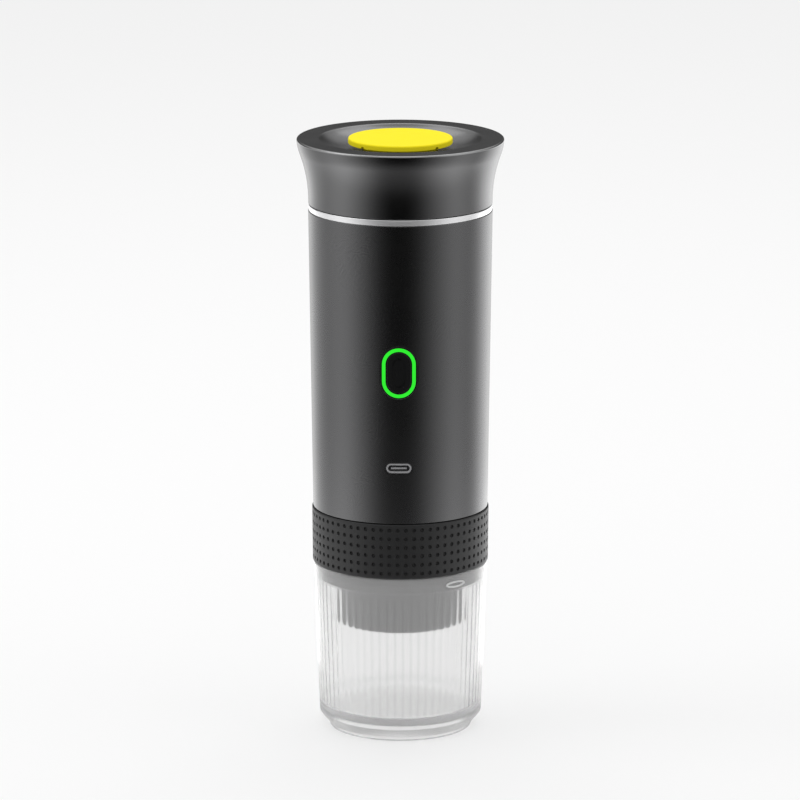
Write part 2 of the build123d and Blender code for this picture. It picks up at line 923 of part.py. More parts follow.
def outlet_hose_ends():
    return head_barb_top_z - hose_grip, outlet_barb_z + hose_grip


def inlet_hose_ends():
    return inlet_barb_top_z - hose_grip, tank_outlet_z + hose_grip


def make_hose_clips():
    clips = []
    for bottom, top in (outlet_hose_ends(), inlet_hose_ends()):
        for clip_z in (bottom + clip_inset, top - clip_inset - clip_width):
            clips.append(ring(hose_radius + clip_thickness, hose_radius, clip_z, clip_z + clip_width))
    return Compound(children=clips)


def make_water_tank():
    tank = turned(
        (0, tank_z),
        (tank_radius, tank_z, tank_floor_rounding),
        (tank_radius, tank_top_z - tank_flange),
        (neck_radius, tank_top_z - tank_flange),
        (neck_radius, tank_top_z),
        (tank_bore, tank_top_z),
        (tank_bore, tank_z + tank_wall, tank_floor_rounding - tank_wall),
        (0, tank_z + tank_wall),
    )
    tank += disc(barb_radius, tank_outlet_z, tank_z)
    return tank - disc(tank_outlet_bore, tank_outlet_z, tank_z + tank_wall)


def make_tank_filter():
    bottom = tank_z + tank_wall
    pitch = tank_filter_radius / 2
    return perforated(tank_filter_radius, bottom, tank_filter_thickness, 1, pitch, screen_hole_radius)


def make_tank_gasket():
    return ring(neck_radius, neck_bore, neck_top_z, tank_top_z - tank_flange)


def make_tank_insulation():
    top = shell_top_z - collar_flange
    outer = shell_inner_radius(upper_deck_top_z) - insulation_gap
    return ring(outer, tank_radius + part_gap, upper_deck_top_z, top)


def make_heater_plate():
    hole = hose_radius + loose_gap
    return ring(heater_radius, hole, heater_z, heater_z + heater_thickness)


def make_thermostat():
    body = disc(thermostat_radius, heater_z - thermostat_height, heater_z)
    return Pos(thermostat_offset, 0) * fillet(body.edges().group_by(Axis.Z)[0], foot_rounding)


def make_temperature_sensor():
    return Pos(-sensor_offset, 0) * disc(sensor_radius, heater_z - sensor_height, heater_z)


def make_top_collar():
    flange_z_low = shell_top_z - collar_flange
    flange_radius = shell_inner_radius(flange_z_low) - frame_fit
    shoulder_z = trim_top_z - shoulder_drop
    body = turned(
        (neck_bore, flange_z_low),
        (flange_radius, flange_z_low),
        (flange_radius, shell_top_z),
        (shoulder_radius, shell_top_z),
        (shoulder_radius, shoulder_z),
        (neck_radius, shoulder_z),
        (neck_radius, neck_top_z),
        (neck_bore, neck_top_z),
    )
    return body + thread_ridges(neck_radius, neck_radius + thread_depth, trim_top_z + neck_thread_rise)


def make_trim_ring():
    return turned(
        (trim_bore, shell_top_z),
        (trim_radius, shell_top_z, trim_rounding),
        (trim_radius, trim_top_z, trim_rounding),
        (trim_bore, trim_top_z),
    )


def make_lid_shell():
    """Flared outer lid: straight skirt, concave flare, convex rim and a dished top."""
    flare_z = rim_z - lid_flare_drop
    edge_z = rim_z - lid_rim_drop
    dish_middle = ((dish_edge_radius + dish_floor_radius) / 2, (rim_z + dish_z) / 2)
    straight = Line((lid_waist_radius, lid_z), (lid_waist_radius, lid_z + lid_straight))
    flare = TangentArc(straight @ 1, (lid_flare_radius, flare_z), tangent=(0, 1))
    brim = TangentArc(flare @ 1, (lid_rim_radius, edge_z), tangent=flare % 1)
    edge = TangentArc(brim @ 1, (lid_rim_radius - lid_edge_rounding, rim_z), tangent=brim % 1)
    top = Line(edge @ 1, (dish_edge_radius, rim_z))
    shoulder = TangentArc(top @ 1, dish_middle, tangent=(-1, 0))
    bowl = TangentArc(shoulder @ 1, (dish_floor_radius, dish_z), tangent=shoulder % 1)
    inside = Polyline(
        bowl @ 1,
        (filler_hole_radius, dish_z),
        (filler_hole_radius, liner_top_z),
        (lid_bore, liner_top_z),
        (lid_bore, lid_z),
        straight @ 0,
    )
    outline = [straight, flare, brim, edge, top, shoulder, bowl, *inside.edges()]
    return revolve(Plane.XZ * make_face(outline), Axis.Z)


def make_lid_liner():
    bottom = lid_z + liner_lift
    body = turned(
        (liner_bore, bottom, edge_rounding),
        (liner_radius, bottom, edge_rounding),
        (liner_radius, liner_top_z),
        (filler_hole_radius, liner_top_z),
        (filler_hole_radius, roof_z),
        (liner_bore, roof_z),
    )
    start = trim_top_z + neck_thread_rise - thread_pitch / 2
    return body + thread_ridges(liner_bore, liner_bore - thread_depth, start)


def make_lid_gasket():
    return ring(neck_radius, neck_radius - lid_gasket_width, tank_top_z, roof_z)


def make_filler_plug():
    cap_top = rim_z + plug_proud
    cap_z = cap_top - plug_thickness
    stem_radius = filler_hole_radius - slide_clearance
    plug = turned(
        (0, roof_z + part_gap),
        (stem_radius, roof_z + part_gap, plug_rounding),
        (stem_radius, dish_z),
        (plug_foot_radius, dish_z),
        (plug_foot_radius, cap_z),
        (plug_radius, cap_z, plug_rounding / 2),
        (plug_radius, cap_top, plug_rounding),
        (0, cap_top),
    )
    notch = Plane.YZ.offset(plug_radius - notch_length) * Pos(0, cap_z) * Circle(notch_radius)
    cutter = extrude(notch, amount=notch_length + notch_radius)
    turns = [notch_start_angle + 360 * number / notch_count for number in range(notch_count)]
    return plug - [Rot(0, 0, turn) * cutter for turn in turns]


def make_wiring():
    """Leads of the heater, the pump and the cells, whole between their ends."""
    leads = []
    for side in (-1, 1):
        heater_x = side * heater_lead_offset
        start_y = connector_depth - board_reach
        heater_start = (heater_x, start_y, button_z)
        heater_corner = (heater_x, -heater_lead_reach, button_z)
        leads.append(wire(heater_start, heater_corner, (heater_x, -heater_lead_reach, heater_z)))
        pump_x = side * pump_lead_offset
        pump_lead_z = yoke_z + yoke_height / 2
        coil_radius = yoke_radius - yoke_wall
        pump_end_y = -sqrt(coil_radius**2 - (pump_lead_offset - wire_radius) ** 2)
        leads.append(wire((pump_x, -board_reach, pump_lead_z), (pump_x, pump_end_y, pump_lead_z)))
        cell_x = side * battery_lead_offset
        cell_lead_z = bay_z + battery_lead_rise
        cell_start = (cell_x, -board_reach, cell_lead_z)
        cell_corner = (cell_x, -battery_lead_reach, cell_lead_z)
        cell_end = (cell_x, -battery_lead_reach, bay_z + strip_thickness)
        leads.append(wire(cell_start, cell_corner, cell_end))
    return Compound(children=leads)


right_cell, rear_cell, left_cell = [place * make_cell() for place in cell_places()]

pieces = {
    "cup": make_cup(),
    "brew_collar": make_brew_collar(),
    "grip_sleeve": make_grip_sleeve(),
    "cup_seal": make_cup_seal(),
    "spout_housing": make_spout_housing(),
    "filter_basket": make_filter_basket(),
    "basket_screen": make_basket_screen(),
    "head_gasket": make_head_gasket(),
    "brew_head": make_brew_head(),
    "shower_screen": make_shower_screen(),
    "shell_seal": make_shell_seal(),
    "head_screws": make_head_screws(),
    "chassis": make_chassis(),
    "outer_shell": make_outer_shell(),
    "cell_right": right_cell,
    "cell_rear": rear_cell,
    "cell_left": left_cell,
    "cell_strips": make_cell_strips(),
    "cell_pads": make_cell_pads(),
    "main_board": make_main_board(),
    "board_screws": make_board_screws(),
    "board_components": make_board_components(),
    "status_leds": make_status_leds(),
    "tact_switch": make_tact_switch(),
    "switch_plunger": make_switch_plunger(),
    "button_cap": make_button_cap(),
    "led_ring": make_led_ring(),
    "button_gasket": make_button_gasket(),
    "usb_bezel": make_usb_bezel(),
    "usb_shell": make_usb_shell(),
    "usb_tongue": make_usb_tongue(),
    "pump_body": make_pump_body(),
    "pump_plunger": make_pump_plunger(),
    "valve_poppet": make_valve_poppet(),
    "valve_spring": make_valve_spring(),
    "return_spring": make_return_spring(),
    "buffer_spring": make_buffer_spring(),
    "pump_yoke": make_pump_yoke(),
    "pump_coil": make_pump_coil(),
    "pump_foot": pump_mount(bay_z, yoke_z),
    "pump_buffer": pump_mount(yoke_z + yoke_height, upper_deck_z),
    "outlet_hose": hose(*outlet_hose_ends()),
    "inlet_hose": hose(*inlet_hose_ends()),
    "hose_clips": make_hose_clips(),
    "water_tank": make_water_tank(),
    "tank_filter": make_tank_filter(),
    "tank_gasket": make_tank_gasket(),
    "tank_insulation": make_tank_insulation(),
    "heater_plate": make_heater_plate(),
    "thermostat": make_thermostat(),
    "temperature_sensor": make_temperature_sensor(),
    "top_collar": make_top_collar(),
    "trim_ring": make_trim_ring(),
    "lid_gasket": make_lid_gasket(),
    "lid_shell": make_lid_shell(),
    "lid_liner": make_lid_liner(),
    "filler_plug": make_filler_plug(),
    "wiring": make_wiring(),
}

os.makedirs("parts", exist_ok=True)
for name, shape in pieces.items():
    export_step(shape, f"parts/{name}.step")
    print(name, round(shape.volume, 2), "mm3")
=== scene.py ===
import bmesh
import bpy
import json
import math
from mathutils import Matrix, Vector


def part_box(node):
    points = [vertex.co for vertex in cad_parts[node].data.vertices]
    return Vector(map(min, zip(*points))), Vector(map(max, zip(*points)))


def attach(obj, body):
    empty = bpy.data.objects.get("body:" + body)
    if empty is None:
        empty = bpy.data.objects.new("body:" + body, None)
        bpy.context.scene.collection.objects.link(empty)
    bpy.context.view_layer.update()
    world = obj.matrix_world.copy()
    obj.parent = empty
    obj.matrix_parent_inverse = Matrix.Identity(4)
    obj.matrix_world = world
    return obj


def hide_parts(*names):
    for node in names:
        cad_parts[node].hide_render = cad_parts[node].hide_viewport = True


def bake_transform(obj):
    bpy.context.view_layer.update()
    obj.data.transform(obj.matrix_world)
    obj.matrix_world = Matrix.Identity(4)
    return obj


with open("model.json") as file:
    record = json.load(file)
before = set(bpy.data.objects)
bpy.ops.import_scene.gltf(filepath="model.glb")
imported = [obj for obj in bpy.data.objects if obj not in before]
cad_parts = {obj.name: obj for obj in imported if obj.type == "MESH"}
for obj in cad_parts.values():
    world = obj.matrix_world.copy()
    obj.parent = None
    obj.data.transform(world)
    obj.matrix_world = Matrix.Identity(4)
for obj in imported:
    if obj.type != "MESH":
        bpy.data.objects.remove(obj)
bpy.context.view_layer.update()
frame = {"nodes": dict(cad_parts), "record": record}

mm = 0.001
tiny = 0.001 * mm  # points that lie closer than this count as one
slack = 1e-12  # rounding error that a sum of lengths may carry
print("frame loaded:", len(frame["nodes"]), "nodes")

# Points and outlines. An outline runs in the half plane of radius and height.


def nodeHeights(node):
    low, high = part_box(node)
    return low.z, high.z


def roundedOutline(corners, steps=6):
    # each corner is a point, with the radius of its rounding where it has one
    points = []
    for index, corner in enumerate(corners):
        here = Vector(corner[:2])
        rounding = corner[2] if len(corner) > 2 else 0
        if not rounding:
            points.append(here)
            continue
        before = (Vector(corners[index - 1][:2]) - here).normalized()
        after = (Vector(corners[(index + 1) % len(corners)][:2]) - here).normalized()
        half = before.angle(after) / 2
        reach = rounding / math.tan(half)
        centre = here + (before + after).normalized() * rounding / math.sin(half)
        start = (here + before * reach - centre).normalized()
        finish = (here + after * reach - centre).normalized()
        points += [centre + rounding * start.slerp(finish, step / steps) for step in range(steps + 1)]
    return points


def addArc(outline, tangent, finish, steps):
    # bends an outline on from its last point to the finish, and gives the direction in which it ends
    start, finish = outline[-1], Vector(finish)
    along = Vector(tangent).normalized()
    chord = finish - start
    side = Vector((-along.y, along.x))
    turn = 2 * math.atan2(chord.dot(side), chord.dot(along))
    radius = chord.length / (2 * math.sin(turn / 2))
    centre = start + side * radius
    spoke = start - centre
    outline += [centre + Matrix.Rotation(turn * step / steps, 2) @ spoke for step in range(1, steps + 1)]
    return Matrix.Rotation(turn, 2) @ along


def onTube(angle, radius, height):
    # angle 0 is the front, and it grows to the right as seen from the front
    return Vector((radius * math.sin(angle), -radius * math.cos(angle), height))


def ovalPoint(width, height, share):
    # a point on an oval with straight sides, at that share of the way round from its top centre clockwise
    radius = min(width, height) / 2
    runX, runZ = width / 2 - radius, height / 2 - radius
    quarter = math.pi * radius / 2
    distance = share * (4 * runX + 4 * runZ + 4 * quarter)
    legs = [  # length, origin, direction of a straight leg, bearing at which a round leg starts
        (runX, (0, height / 2), (1, 0), None),
        (quarter, (runX, runZ), None, 90),
        (2 * runZ, (width / 2, runZ), (0, -1), None),
        (quarter, (runX, -runZ), None, 0),
        (2 * runX, (runX, -height / 2), (-1, 0), None),
        (quarter, (-runX, -runZ), None, -90),
        (2 * runZ, (-width / 2, -runZ), (0, 1), None),
        (quarter, (-runX, runZ), None, 180),
        (runX, (-runX, height / 2), (1, 0), None),
    ]
    for length, origin, direction, bearing in legs:
        if distance <= length + slack:
            if direction:
                return Vector(origin) + Vector(direction) * distance
            angle = math.radians(bearing) - distance / radius
            return Vector(origin) + radius * Vector((math.cos(angle), math.sin(angle)))
        distance -= length
    return Vector((0, height / 2))


def ovalPoints(sizes, count, grow=0.0):
    width, height = sizes["width"] + 2 * grow, sizes["height"] + 2 * grow
    return [ovalPoint(width, height, place / count) for place in range(count)]


# Meshes


def joinRings(mesh, rings, closed=False):
    pairs = list(zip(rings, rings[1:]))
    if closed:
        pairs.append((rings[-1], rings[0]))
    for lower, upper in pairs:
        count = max(len(lower), len(upper))
        if count == 1:
            continue
        for step in range(count):
            around = (step + 1) % count
            corners = [lower[step % len(lower)], lower[around % len(lower)]]
            corners += [upper[around % len(upper)], upper[step % len(upper)]]
            mesh.faces.new(list(dict.fromkeys(corners)))


def faceOutward(mesh):
    bmesh.ops.recalc_face_normals(mesh, faces=mesh.faces)
    return mesh


def turnedMesh(outline, segments, radiusAt=None):
    mesh = bmesh.new()
    rings = []
    for point in outline:
        if point.x < tiny:
            rings.append([mesh.verts.new((0, 0, point.y))])
            continue
        ring = []
        for step in range(segments):
            angle = 2 * math.pi * step / segments
            radius = radiusAt(point, angle) if radiusAt else point.x
            ring.append(mesh.verts.new(onTube(angle, radius, point.y)))
        rings.append(ring)
    joinRings(mesh, rings, closed=True)
    return faceOutward(mesh)


def addObject(name, data):
    item = bpy.data.objects.new(name, data)
    bpy.context.scene.collection.objects.link(item)
    return item


def addMeshObject(name, mesh):
    data = bpy.data.meshes.new(name)
    mesh.to_mesh(data)
    mesh.free()
    return addObject(name, data)


def addPiece(name, mesh, slot, body, node=None, material=None, sharpAngle=40):
    # the node is the one that the piece stands for, and its material is the slot's unless it has its own
    for face in mesh.faces:
        face.smooth = True
    for edge in mesh.edges:
        if edge.calc_face_angle(0) > math.radians(sharpAngle):
            edge.smooth = False
    piece = addMeshObject(name, mesh)
    piece.data.materials.append(materials[material or slot])
    shading = piece.modifiers.new("evenShading", "WEIGHTED_NORMAL")
    shading.keep_sharp = True
    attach(piece, body)
    if node:
        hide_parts(node)
    return piece


# Shader nodes


def setInputs(tree, node, inputs):
    # an input is named or numbered, and takes a plain value or the output that feeds it
    for label, value in inputs.items():
        if isinstance(value, bpy.types.NodeSocket):
            tree.links.new(value, node.inputs[label])
        else:
            node.inputs[label].default_value = value


def addNode(tree, kind, inputs, **settings):
    node = tree.nodes.new(kind)
    for setting, value in settings.items():
        setattr(node, setting, value)
    setInputs(tree, node, inputs)
    return node


def mathNode(tree, operation, first, second=0.0):
    return addNode(tree, "ShaderNodeMath", {0: first, 1: second}, operation=operation).outputs[0]


def noiseNode(tree, scale, detail, stretch=None):
    place = tree.nodes.new("ShaderNodeTexCoord").outputs["Object"]
    if stretch:
        place = addNode(tree, "ShaderNodeMapping", {"Vector": place, "Scale": stretch}).outputs["Vector"]
    noise = addNode(tree, "ShaderNodeTexNoise", {"Vector": place, "Scale": scale, "Detail": detail})
    return noise.outputs["Fac"]


def fadeNode(tree, value, low, high, start, finish):
    # eases from the start to the finish while the value goes from low to high
    inputs = {"Value": value, "From Min": low, "From Max": high, "To Min": start, "To Max": finish}
    return addNode(tree, "ShaderNodeMapRange", inputs, interpolation_type="SMOOTHSTEP").outputs["Result"]


def mixColour(tree, share, plain, other):
    return addNode(tree, "ShaderNodeMix", {0: share, 6: plain, 7: other}, data_type="RGBA").outputs[2]


def mixShader(tree, share, other):
    # that share of the rays meets the other shader in place of the principled one
    own = tree.nodes["Principled BSDF"].outputs["BSDF"]
    blend = addNode(tree, "ShaderNodeMixShader", {"Fac": share, 1: own, 2: other})
    setInputs(tree, tree.nodes["Material Output"], {"Surface": blend.outputs["Shader"]})


# Shared effects, each a node group with named sockets

colourSocket, numberSocket, vectorSocket = "NodeSocketColor", "NodeSocketFloat", "NodeSocketVector"
skinOutputs = [("Colour", colourSocket), ("Roughness", numberSocket), ("Height", numberSocket)]


def newGroup(name, inputs, outputs):
    group = bpy.data.node_groups.new(name, "ShaderNodeTree")
    for label, kind, value in inputs:
        socket = group.interface.new_socket(label, in_out="INPUT", socket_type=kind)
        socket.default_value = value
    for label, kind in outputs:
        group.interface.new_socket(label, in_out="OUTPUT", socket_type=kind)
    entry = group.nodes.new("NodeGroupInput")
    leave = group.nodes.new("NodeGroupOutput")
    return group, entry.outputs, leave


def leaveSkin(group, entry, leave, height, roughSwing, shade):
    # what every skin gives: its colour, a little paler or darker, its roughness and its relief
    inputs = {0: entry["Colour"], "Scale": mathNode(group, "ADD", shade, 1.0)}
    tint = addNode(group, "ShaderNodeVectorMath", inputs, operation="SCALE")
    rough = mathNode(group, "ADD", roughSwing, entry["Roughness"])
    setInputs(group, leave, {"Colour": tint.outputs[0], "Roughness": rough, "Height": height})


def makeMouldedSkin():
    # fine grain of a moulded or sprayed skin, with broad soft patches left by handling
    inputs = [
        ("Colour", colourSocket, (0.5, 0.5, 0.5, 1)),
        ("Roughness", numberSocket, 0.4),
        ("Grain Scale", numberSocket, 4000.0),
        ("Grain Roughness", numberSocket, 0.06),
        ("Patch Scale", numberSocket, 60.0),
        ("Patch Roughness", numberSocket, 0.05),
        ("Patch Shade", numberSocket, 0.05),
    ]
    group, entry, leave = newGroup("mouldedSkin", inputs, skinOutputs)
    grain = noiseNode(group, entry["Grain Scale"], detail=1.0)
    patch = noiseNode(group, entry["Patch Scale"], detail=3.0)
    grainSwing = mathNode(group, "SUBTRACT", grain, 0.5)
    patchSwing = mathNode(group, "SUBTRACT", patch, 0.5)
    grainPart = mathNode(group, "MULTIPLY", grainSwing, entry["Grain Roughness"])
    patchPart = mathNode(group, "MULTIPLY", patchSwing, entry["Patch Roughness"])
    roughSwing = mathNode(group, "ADD", grainPart, patchPart)
    shade = mathNode(group, "MULTIPLY", patchSwing, entry["Patch Shade"])
    leaveSkin(group, entry, leave, grain, roughSwing, shade)
    return group


def makeBrushedLines():
    # fine parallel lines of a rolled, drawn or turned metal
    inputs = [
        ("Colour", colourSocket, (0.6, 0.6, 0.6, 1)),
        ("Roughness", numberSocket, 0.3),
        ("Line Scale", numberSocket, 300.0),
        ("Line Roughness", numberSocket, 0.15),
        ("Line Shade", numberSocket, 0.1),
    ]
    group, entry, leave = newGroup("brushedLines", inputs, skinOutputs)
    lines = noiseNode(group, entry["Line Scale"], detail=3.0, stretch=(1, 1, 30))
    swing = mathNode(group, "SUBTRACT", lines, 0.5)
    roughSwing = mathNode(group, "MULTIPLY", swing, entry["Line Roughness"])
    shade = mathNode(group, "MULTIPLY", swing, entry["Line Shade"])
    leaveSkin(group, entry, leave, lines, roughSwing, shade)
    return group


mouldedSkin = makeMouldedSkin()
brushedLines = makeBrushedLines()
reliefDistance = 0.05 * mm


def plainMaterial(name, shader):
    material = bpy.data.materials.new(name)
    material.use_nodes = True
    tree = material.node_tree
    setInputs(tree, tree.nodes["Principled BSDF"], shader)
    return material, tree


def newMaterial(name, group, values, shader, bump):
    # the group gives the colour, the roughness and the relief, and the shader holds what is plain
    material, tree = plainMaterial(name, shader)
    effect = addNode(tree, "ShaderNodeGroup", values, node_tree=group).outputs
    inputs = {"Height": effect["Height"], "Strength": bump, "Distance": reliefDistance}
    relief = addNode(tree, "ShaderNodeBump", inputs).outputs["Normal"]
    fed = {"Base Color": effect["Colour"], "Roughness": effect["Roughness"], "Normal": relief}
    setInputs(tree, tree.nodes["Principled BSDF"], fed)
    return material


# Finishes. Most carry the name of the material slot that they fill.

mouldedFinishes = {
    "body_finish": {
        "colour": (0.14, 0.14, 0.142), "roughness": 0.28, "bump": 0.05, "patchShade": 0.02,
        "shader": {"Metallic": 1.0},
    },
    "lid_plastic": {
        "colour": (0.168, 0.168, 0.17), "roughness": 0.24, "bump": 0.05, "patchShade": 0.02,
        "shader": {"Metallic": 1.0},
    },
    # painted highlight: the lid's rim edge in a paler, glossier metal colour
    "paintedRimHighlight": {
        "colour": (0.3, 0.3, 0.302), "roughness": 0.22, "bump": 0.02, "patchShade": 0.05,
        "shader": {"Metallic": 1.0},
    },
    "frostedEdge": {
        "colour": (0.85, 0.85, 0.85), "roughness": 0.3, "bump": 0.05, "patchShade": 0.05,
        "shader": {"Transmission Weight": 0.3},
    },
    "grip_rubber": {
        "colour": (0.014, 0.014, 0.0145), "roughness": 0.5, "bump": 0.35, "patchShade": 0.15,
        "shader": {"Specular IOR Level": 0.42},
    },
    "button_plastic": {
        "colour": (0.006, 0.006, 0.0065), "roughness": 0.3, "bump": 0.03, "patchShade": 0.1,
        "shader": {"Specular IOR Level": 0.4},
    },
    "green_light": {
        "colour": (0.002, 0.03, 0.002), "roughness": 0.5, "bump": 0.02, "patchShade": 0.02,
        "shader": {"Emission Color": (0.018, 0.85, 0.02, 1), "Emission Strength": 1.0},
    },
    "yellow_silicone": {
        "colour": (0.98, 0.84, 0.012), "roughness": 0.6, "bump": 0.1, "patchShade": 0.04,
        "shader": {"Specular IOR Level": 0.08},
    },
    "clear_silicone": {
        "colour": (0.78, 0.78, 0.76), "roughness": 0.42, "bump": 0.08, "patchShade": 0.05,
        "shader": {"Subsurface Weight": 0.35, "Subsurface Scale": 0.002},
    },
    "cell_wrap": {
        "colour": (0.03, 0.16, 0.4), "roughness": 0.25, "bump": 0.05, "patchShade": 0.06,
        "shader": {"Coat Weight": 0.3},
    },
    "board_laminate": {
        "colour": (0.015, 0.13, 0.05), "roughness": 0.35, "bump": 0.15, "patchShade": 0.25,
        "shader": {"Coat Weight": 0.2},
    },
    "ringCarrier": {"colour": (0.004, 0.012, 0.004), "roughness": 0.4, "bump": 0.05, "patchShade": 0.05},
    "grey_plastic": {"colour": (0.02, 0.02, 0.02), "roughness": 0.45, "bump": 0.12, "patchShade": 0.06},
    "seal_grey": {"colour": (0.02, 0.02, 0.02), "roughness": 0.45, "bump": 0.1, "patchShade": 0.05},
    "black_plastic": {"colour": (0.022, 0.022, 0.023), "roughness": 0.48, "bump": 0.2, "patchShade": 0.1},
    "black_rubber": {"colour": (0.018, 0.018, 0.018), "roughness": 0.7, "bump": 0.4, "patchShade": 0.2},
    "pump_plastic": {"colour": (0.55, 0.53, 0.48), "roughness": 0.5, "bump": 0.25, "patchShade": 0.12},
    "foam": {"colour": (0.72, 0.72, 0.7), "roughness": 0.9, "bump": 0.9, "patchShade": 0.15},
    "lamp_chip": {"colour": (0.85, 0.88, 0.55), "roughness": 0.3, "bump": 0.1, "patchShade": 0.1},
    "thermostat_ceramic": {"colour": (0.7, 0.67, 0.6), "roughness": 0.7, "bump": 0.4, "patchShade": 0.1},
    "lead_insulation": {"colour": (0.5, 0.02, 0.02), "roughness": 0.4, "bump": 0.05, "patchShade": 0.05},
}

brushedFinishes = {
    "polished_trim": {
        "colour": (0.9, 0.9, 0.91), "roughness": 0.22, "lines": 0.06, "bump": 0.02, "metallic": 0.72,
    },
    "port_metal": {
        "colour": (0.4, 0.4, 0.41), "roughness": 0.4, "lines": 0.08, "bump": 0.05, "metallic": 0.5,
    },
    "stainless_steel": {"colour": (0.62, 0.61, 0.59), "roughness": 0.28, "lines": 0.15, "bump": 0.1},
    "nickel": {"colour": (0.66, 0.64, 0.6), "roughness": 0.25, "lines": 0.1, "bump": 0.08},
    "yoke_steel": {"colour": (0.5, 0.5, 0.52), "roughness": 0.38, "lines": 0.2, "bump": 0.1},
    "copper_winding": {"colour": (0.72, 0.3, 0.14), "roughness": 0.35, "lines": 0.2, "bump": 0.9},
    "heater_aluminium": {"colour": (0.72, 0.72, 0.73), "roughness": 0.4, "lines": 0.2, "bump": 0.15},
}

materials = {}
for finishName, finish in mouldedFinishes.items():
    values = {"Colour": (*finish["colour"], 1), "Roughness": finish["roughness"]}
    values["Patch Shade"] = finish["patchShade"]
    shader = finish.get("shader", {})
    materials[finishName] = newMaterial(finishName, mouldedSkin, values, shader, finish["bump"])
for finishName, finish in brushedFinishes.items():
    values = {"Colour": (*finish["colour"], 1), "Roughness": finish["roughness"]}
    values["Line Roughness"] = finish["lines"]
    shader = {"Metallic": finish.get("metallic", 1.0)}
    materials[finishName] = newMaterial(finishName, brushedLines, values, shader, finish["bump"])

# Cup sizes, and the frosted plastic that follows them

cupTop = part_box("cup")[1].z
cupSizes = {
    "segments": 924,
    "flutes": 66,
    "fluteDepth": 0.26 * mm,
    "fluteFade": 1 * mm,
    "fluteBelowSeat": 0.3 * mm,
    "fluteSkin": 0.2 * mm,  # points this close to the inner wall take the flutes
    "rimRadius": 35.4 * mm,
    "turnRadius": 33.15 * mm,
    "turnHeight": 6.0 * mm,
    "turnCorner": 2.0 * mm,
    "footRadius": 29.1 * mm,
    "footHeight": 1.4 * mm,
    "footWall": 2.4 * mm,
    "footHollow": 6.2 * mm,
    "floor": 3.4 * mm,
    "wall": 2.0 * mm,
    "seatWall": 1.8 * mm,
    "seatDepth": 6.9 * mm,
    "corner": 1.2 * mm,
    "floorCorner": 2.0 * mm,
    "edge": 0.5 * mm,
    "bands": 8,  # in each stretch that is longer and lies further out than the next two
    "bandedLength": 8 * mm,
    "bandedRadius": 10 * mm,
}
frostedSizes = {
    "colour": (0.99, 0.99, 0.99),
    "roughness": 0.22,
    "patches": 0.02,
    "bump": 0.05,
    "clear": 0.84,
    "ior": 1.23,
    # painted shade: greyer colours for the thick floor edge and the flute ridges
    "edgeShadeColour": (0.62, 0.62, 0.625),
    "thickLow": 7.2 * mm,  # the floor's edge, painted grey as shade for light lost in the thick plastic, lies between these two heights
    "thickHigh": 10.7 * mm,
    "thickRadius": 32 * mm,
    "ridgeShadeColour": (0.93, 0.93, 0.93),
    "ridgeShare": -0.5,
    "shadowPass": 0.97,
}


def makePaintedThickShade():
    # painted shade where the cup's plastic is thick: its floor's edge and the ridges between the flutes are
    # painted greyer to stand in for light lost in them
    inputs = [
        ("Floor Low", numberSocket, 0.0),
        ("Floor High", numberSocket, 0.01),
        ("Inner Radius", numberSocket, 0.03),
        ("Flutes", numberSocket, 66.0),
        ("Ridge Share", numberSocket, -0.5),
        ("Seat", numberSocket, 0.05),
    ]
    group, entry, leave = newGroup("paintedThickShade", inputs, [("Edge", numberSocket), ("Ridge", numberSocket)])
    place = group.nodes.new("ShaderNodeTexCoord").outputs["Object"]
    axes = addNode(group, "ShaderNodeSeparateXYZ", {0: place}).outputs

    def between(low, high):
        above = mathNode(group, "GREATER_THAN", axes["Z"], entry[low])
        below = mathNode(group, "LESS_THAN", axes["Z"], entry[high])
        return mathNode(group, "MULTIPLY", above, below)

    squareX = mathNode(group, "MULTIPLY", axes["X"], axes["X"])
    squareY = mathNode(group, "MULTIPLY", axes["Y"], axes["Y"])
    reach = mathNode(group, "SQRT", mathNode(group, "ADD", squareX, squareY))
    outside = mathNode(group, "GREATER_THAN", reach, entry["Inner Radius"])
    edge = mathNode(group, "MULTIPLY", between("Floor Low", "Floor High"), outside)
    turn = mathNode(group, "ARCTAN2", axes["X"], axes["Y"])
    ripple = mathNode(group, "COSINE", mathNode(group, "MULTIPLY", turn, entry["Flutes"]))
    crest = mathNode(group, "LESS_THAN", ripple, entry["Ridge Share"])
    ridge = mathNode(group, "MULTIPLY", between("Floor High", "Seat"), crest)
    setInputs(group, leave, {"Edge": edge, "Ridge": ridge})
    return group


def makeFrosted(name):
    # frosted moulding: part of each surface scatters, the rest lets light through
    s = frostedSizes
    values = {
        "Colour": (*s["colour"], 1),
        "Roughness": s["roughness"],
        "Patch Roughness": s["patches"],
        "Patch Shade": s["patches"],
    }
    shader = {"Transmission Weight": s["clear"], "IOR": s["ior"]}
    material = newMaterial(name, mouldedSkin, values, shader, s["bump"])
    tree = material.node_tree
    principled = tree.nodes["Principled BSDF"]
    thick = addNode(tree, "ShaderNodeGroup", {
        "Floor Low": s["thickLow"],
        "Floor High": s["thickHigh"],
        "Inner Radius": s["thickRadius"],
        "Flutes": cupSizes["flutes"],
        "Ridge Share": s["ridgeShare"],
        "Seat": cupTop - cupSizes["seatDepth"],
    }, node_tree=makePaintedThickShade()).outputs
    # painted shade: the floor's edge and the flute ridges take a greyer colour
    colour = principled.inputs["Base Color"].links[0].from_socket
    colour = mixColour(tree, thick["Edge"], colour, (*s["edgeShadeColour"], 1))
    colour = mixColour(tree, thick["Ridge"], colour, (*s["ridgeShadeColour"], 1))
    setInputs(tree, principled, {"Base Color": colour})
    grey = (s["shadowPass"], s["shadowPass"], s["shadowPass"], 1)
    passing = addNode(tree, "ShaderNodeBsdfTransparent", {"Color": grey})
    path = tree.nodes.new("ShaderNodeLightPath")
    mixShader(tree, path.outputs["Is Shadow Ray"], passing.outputs["BSDF"])
    return material


materials["frosted_plastic"] = makeFrosted("frosted_plastic")
print("materials:", len(materials))

# Every node of the part takes the finish of its slot, but for the cup's seal

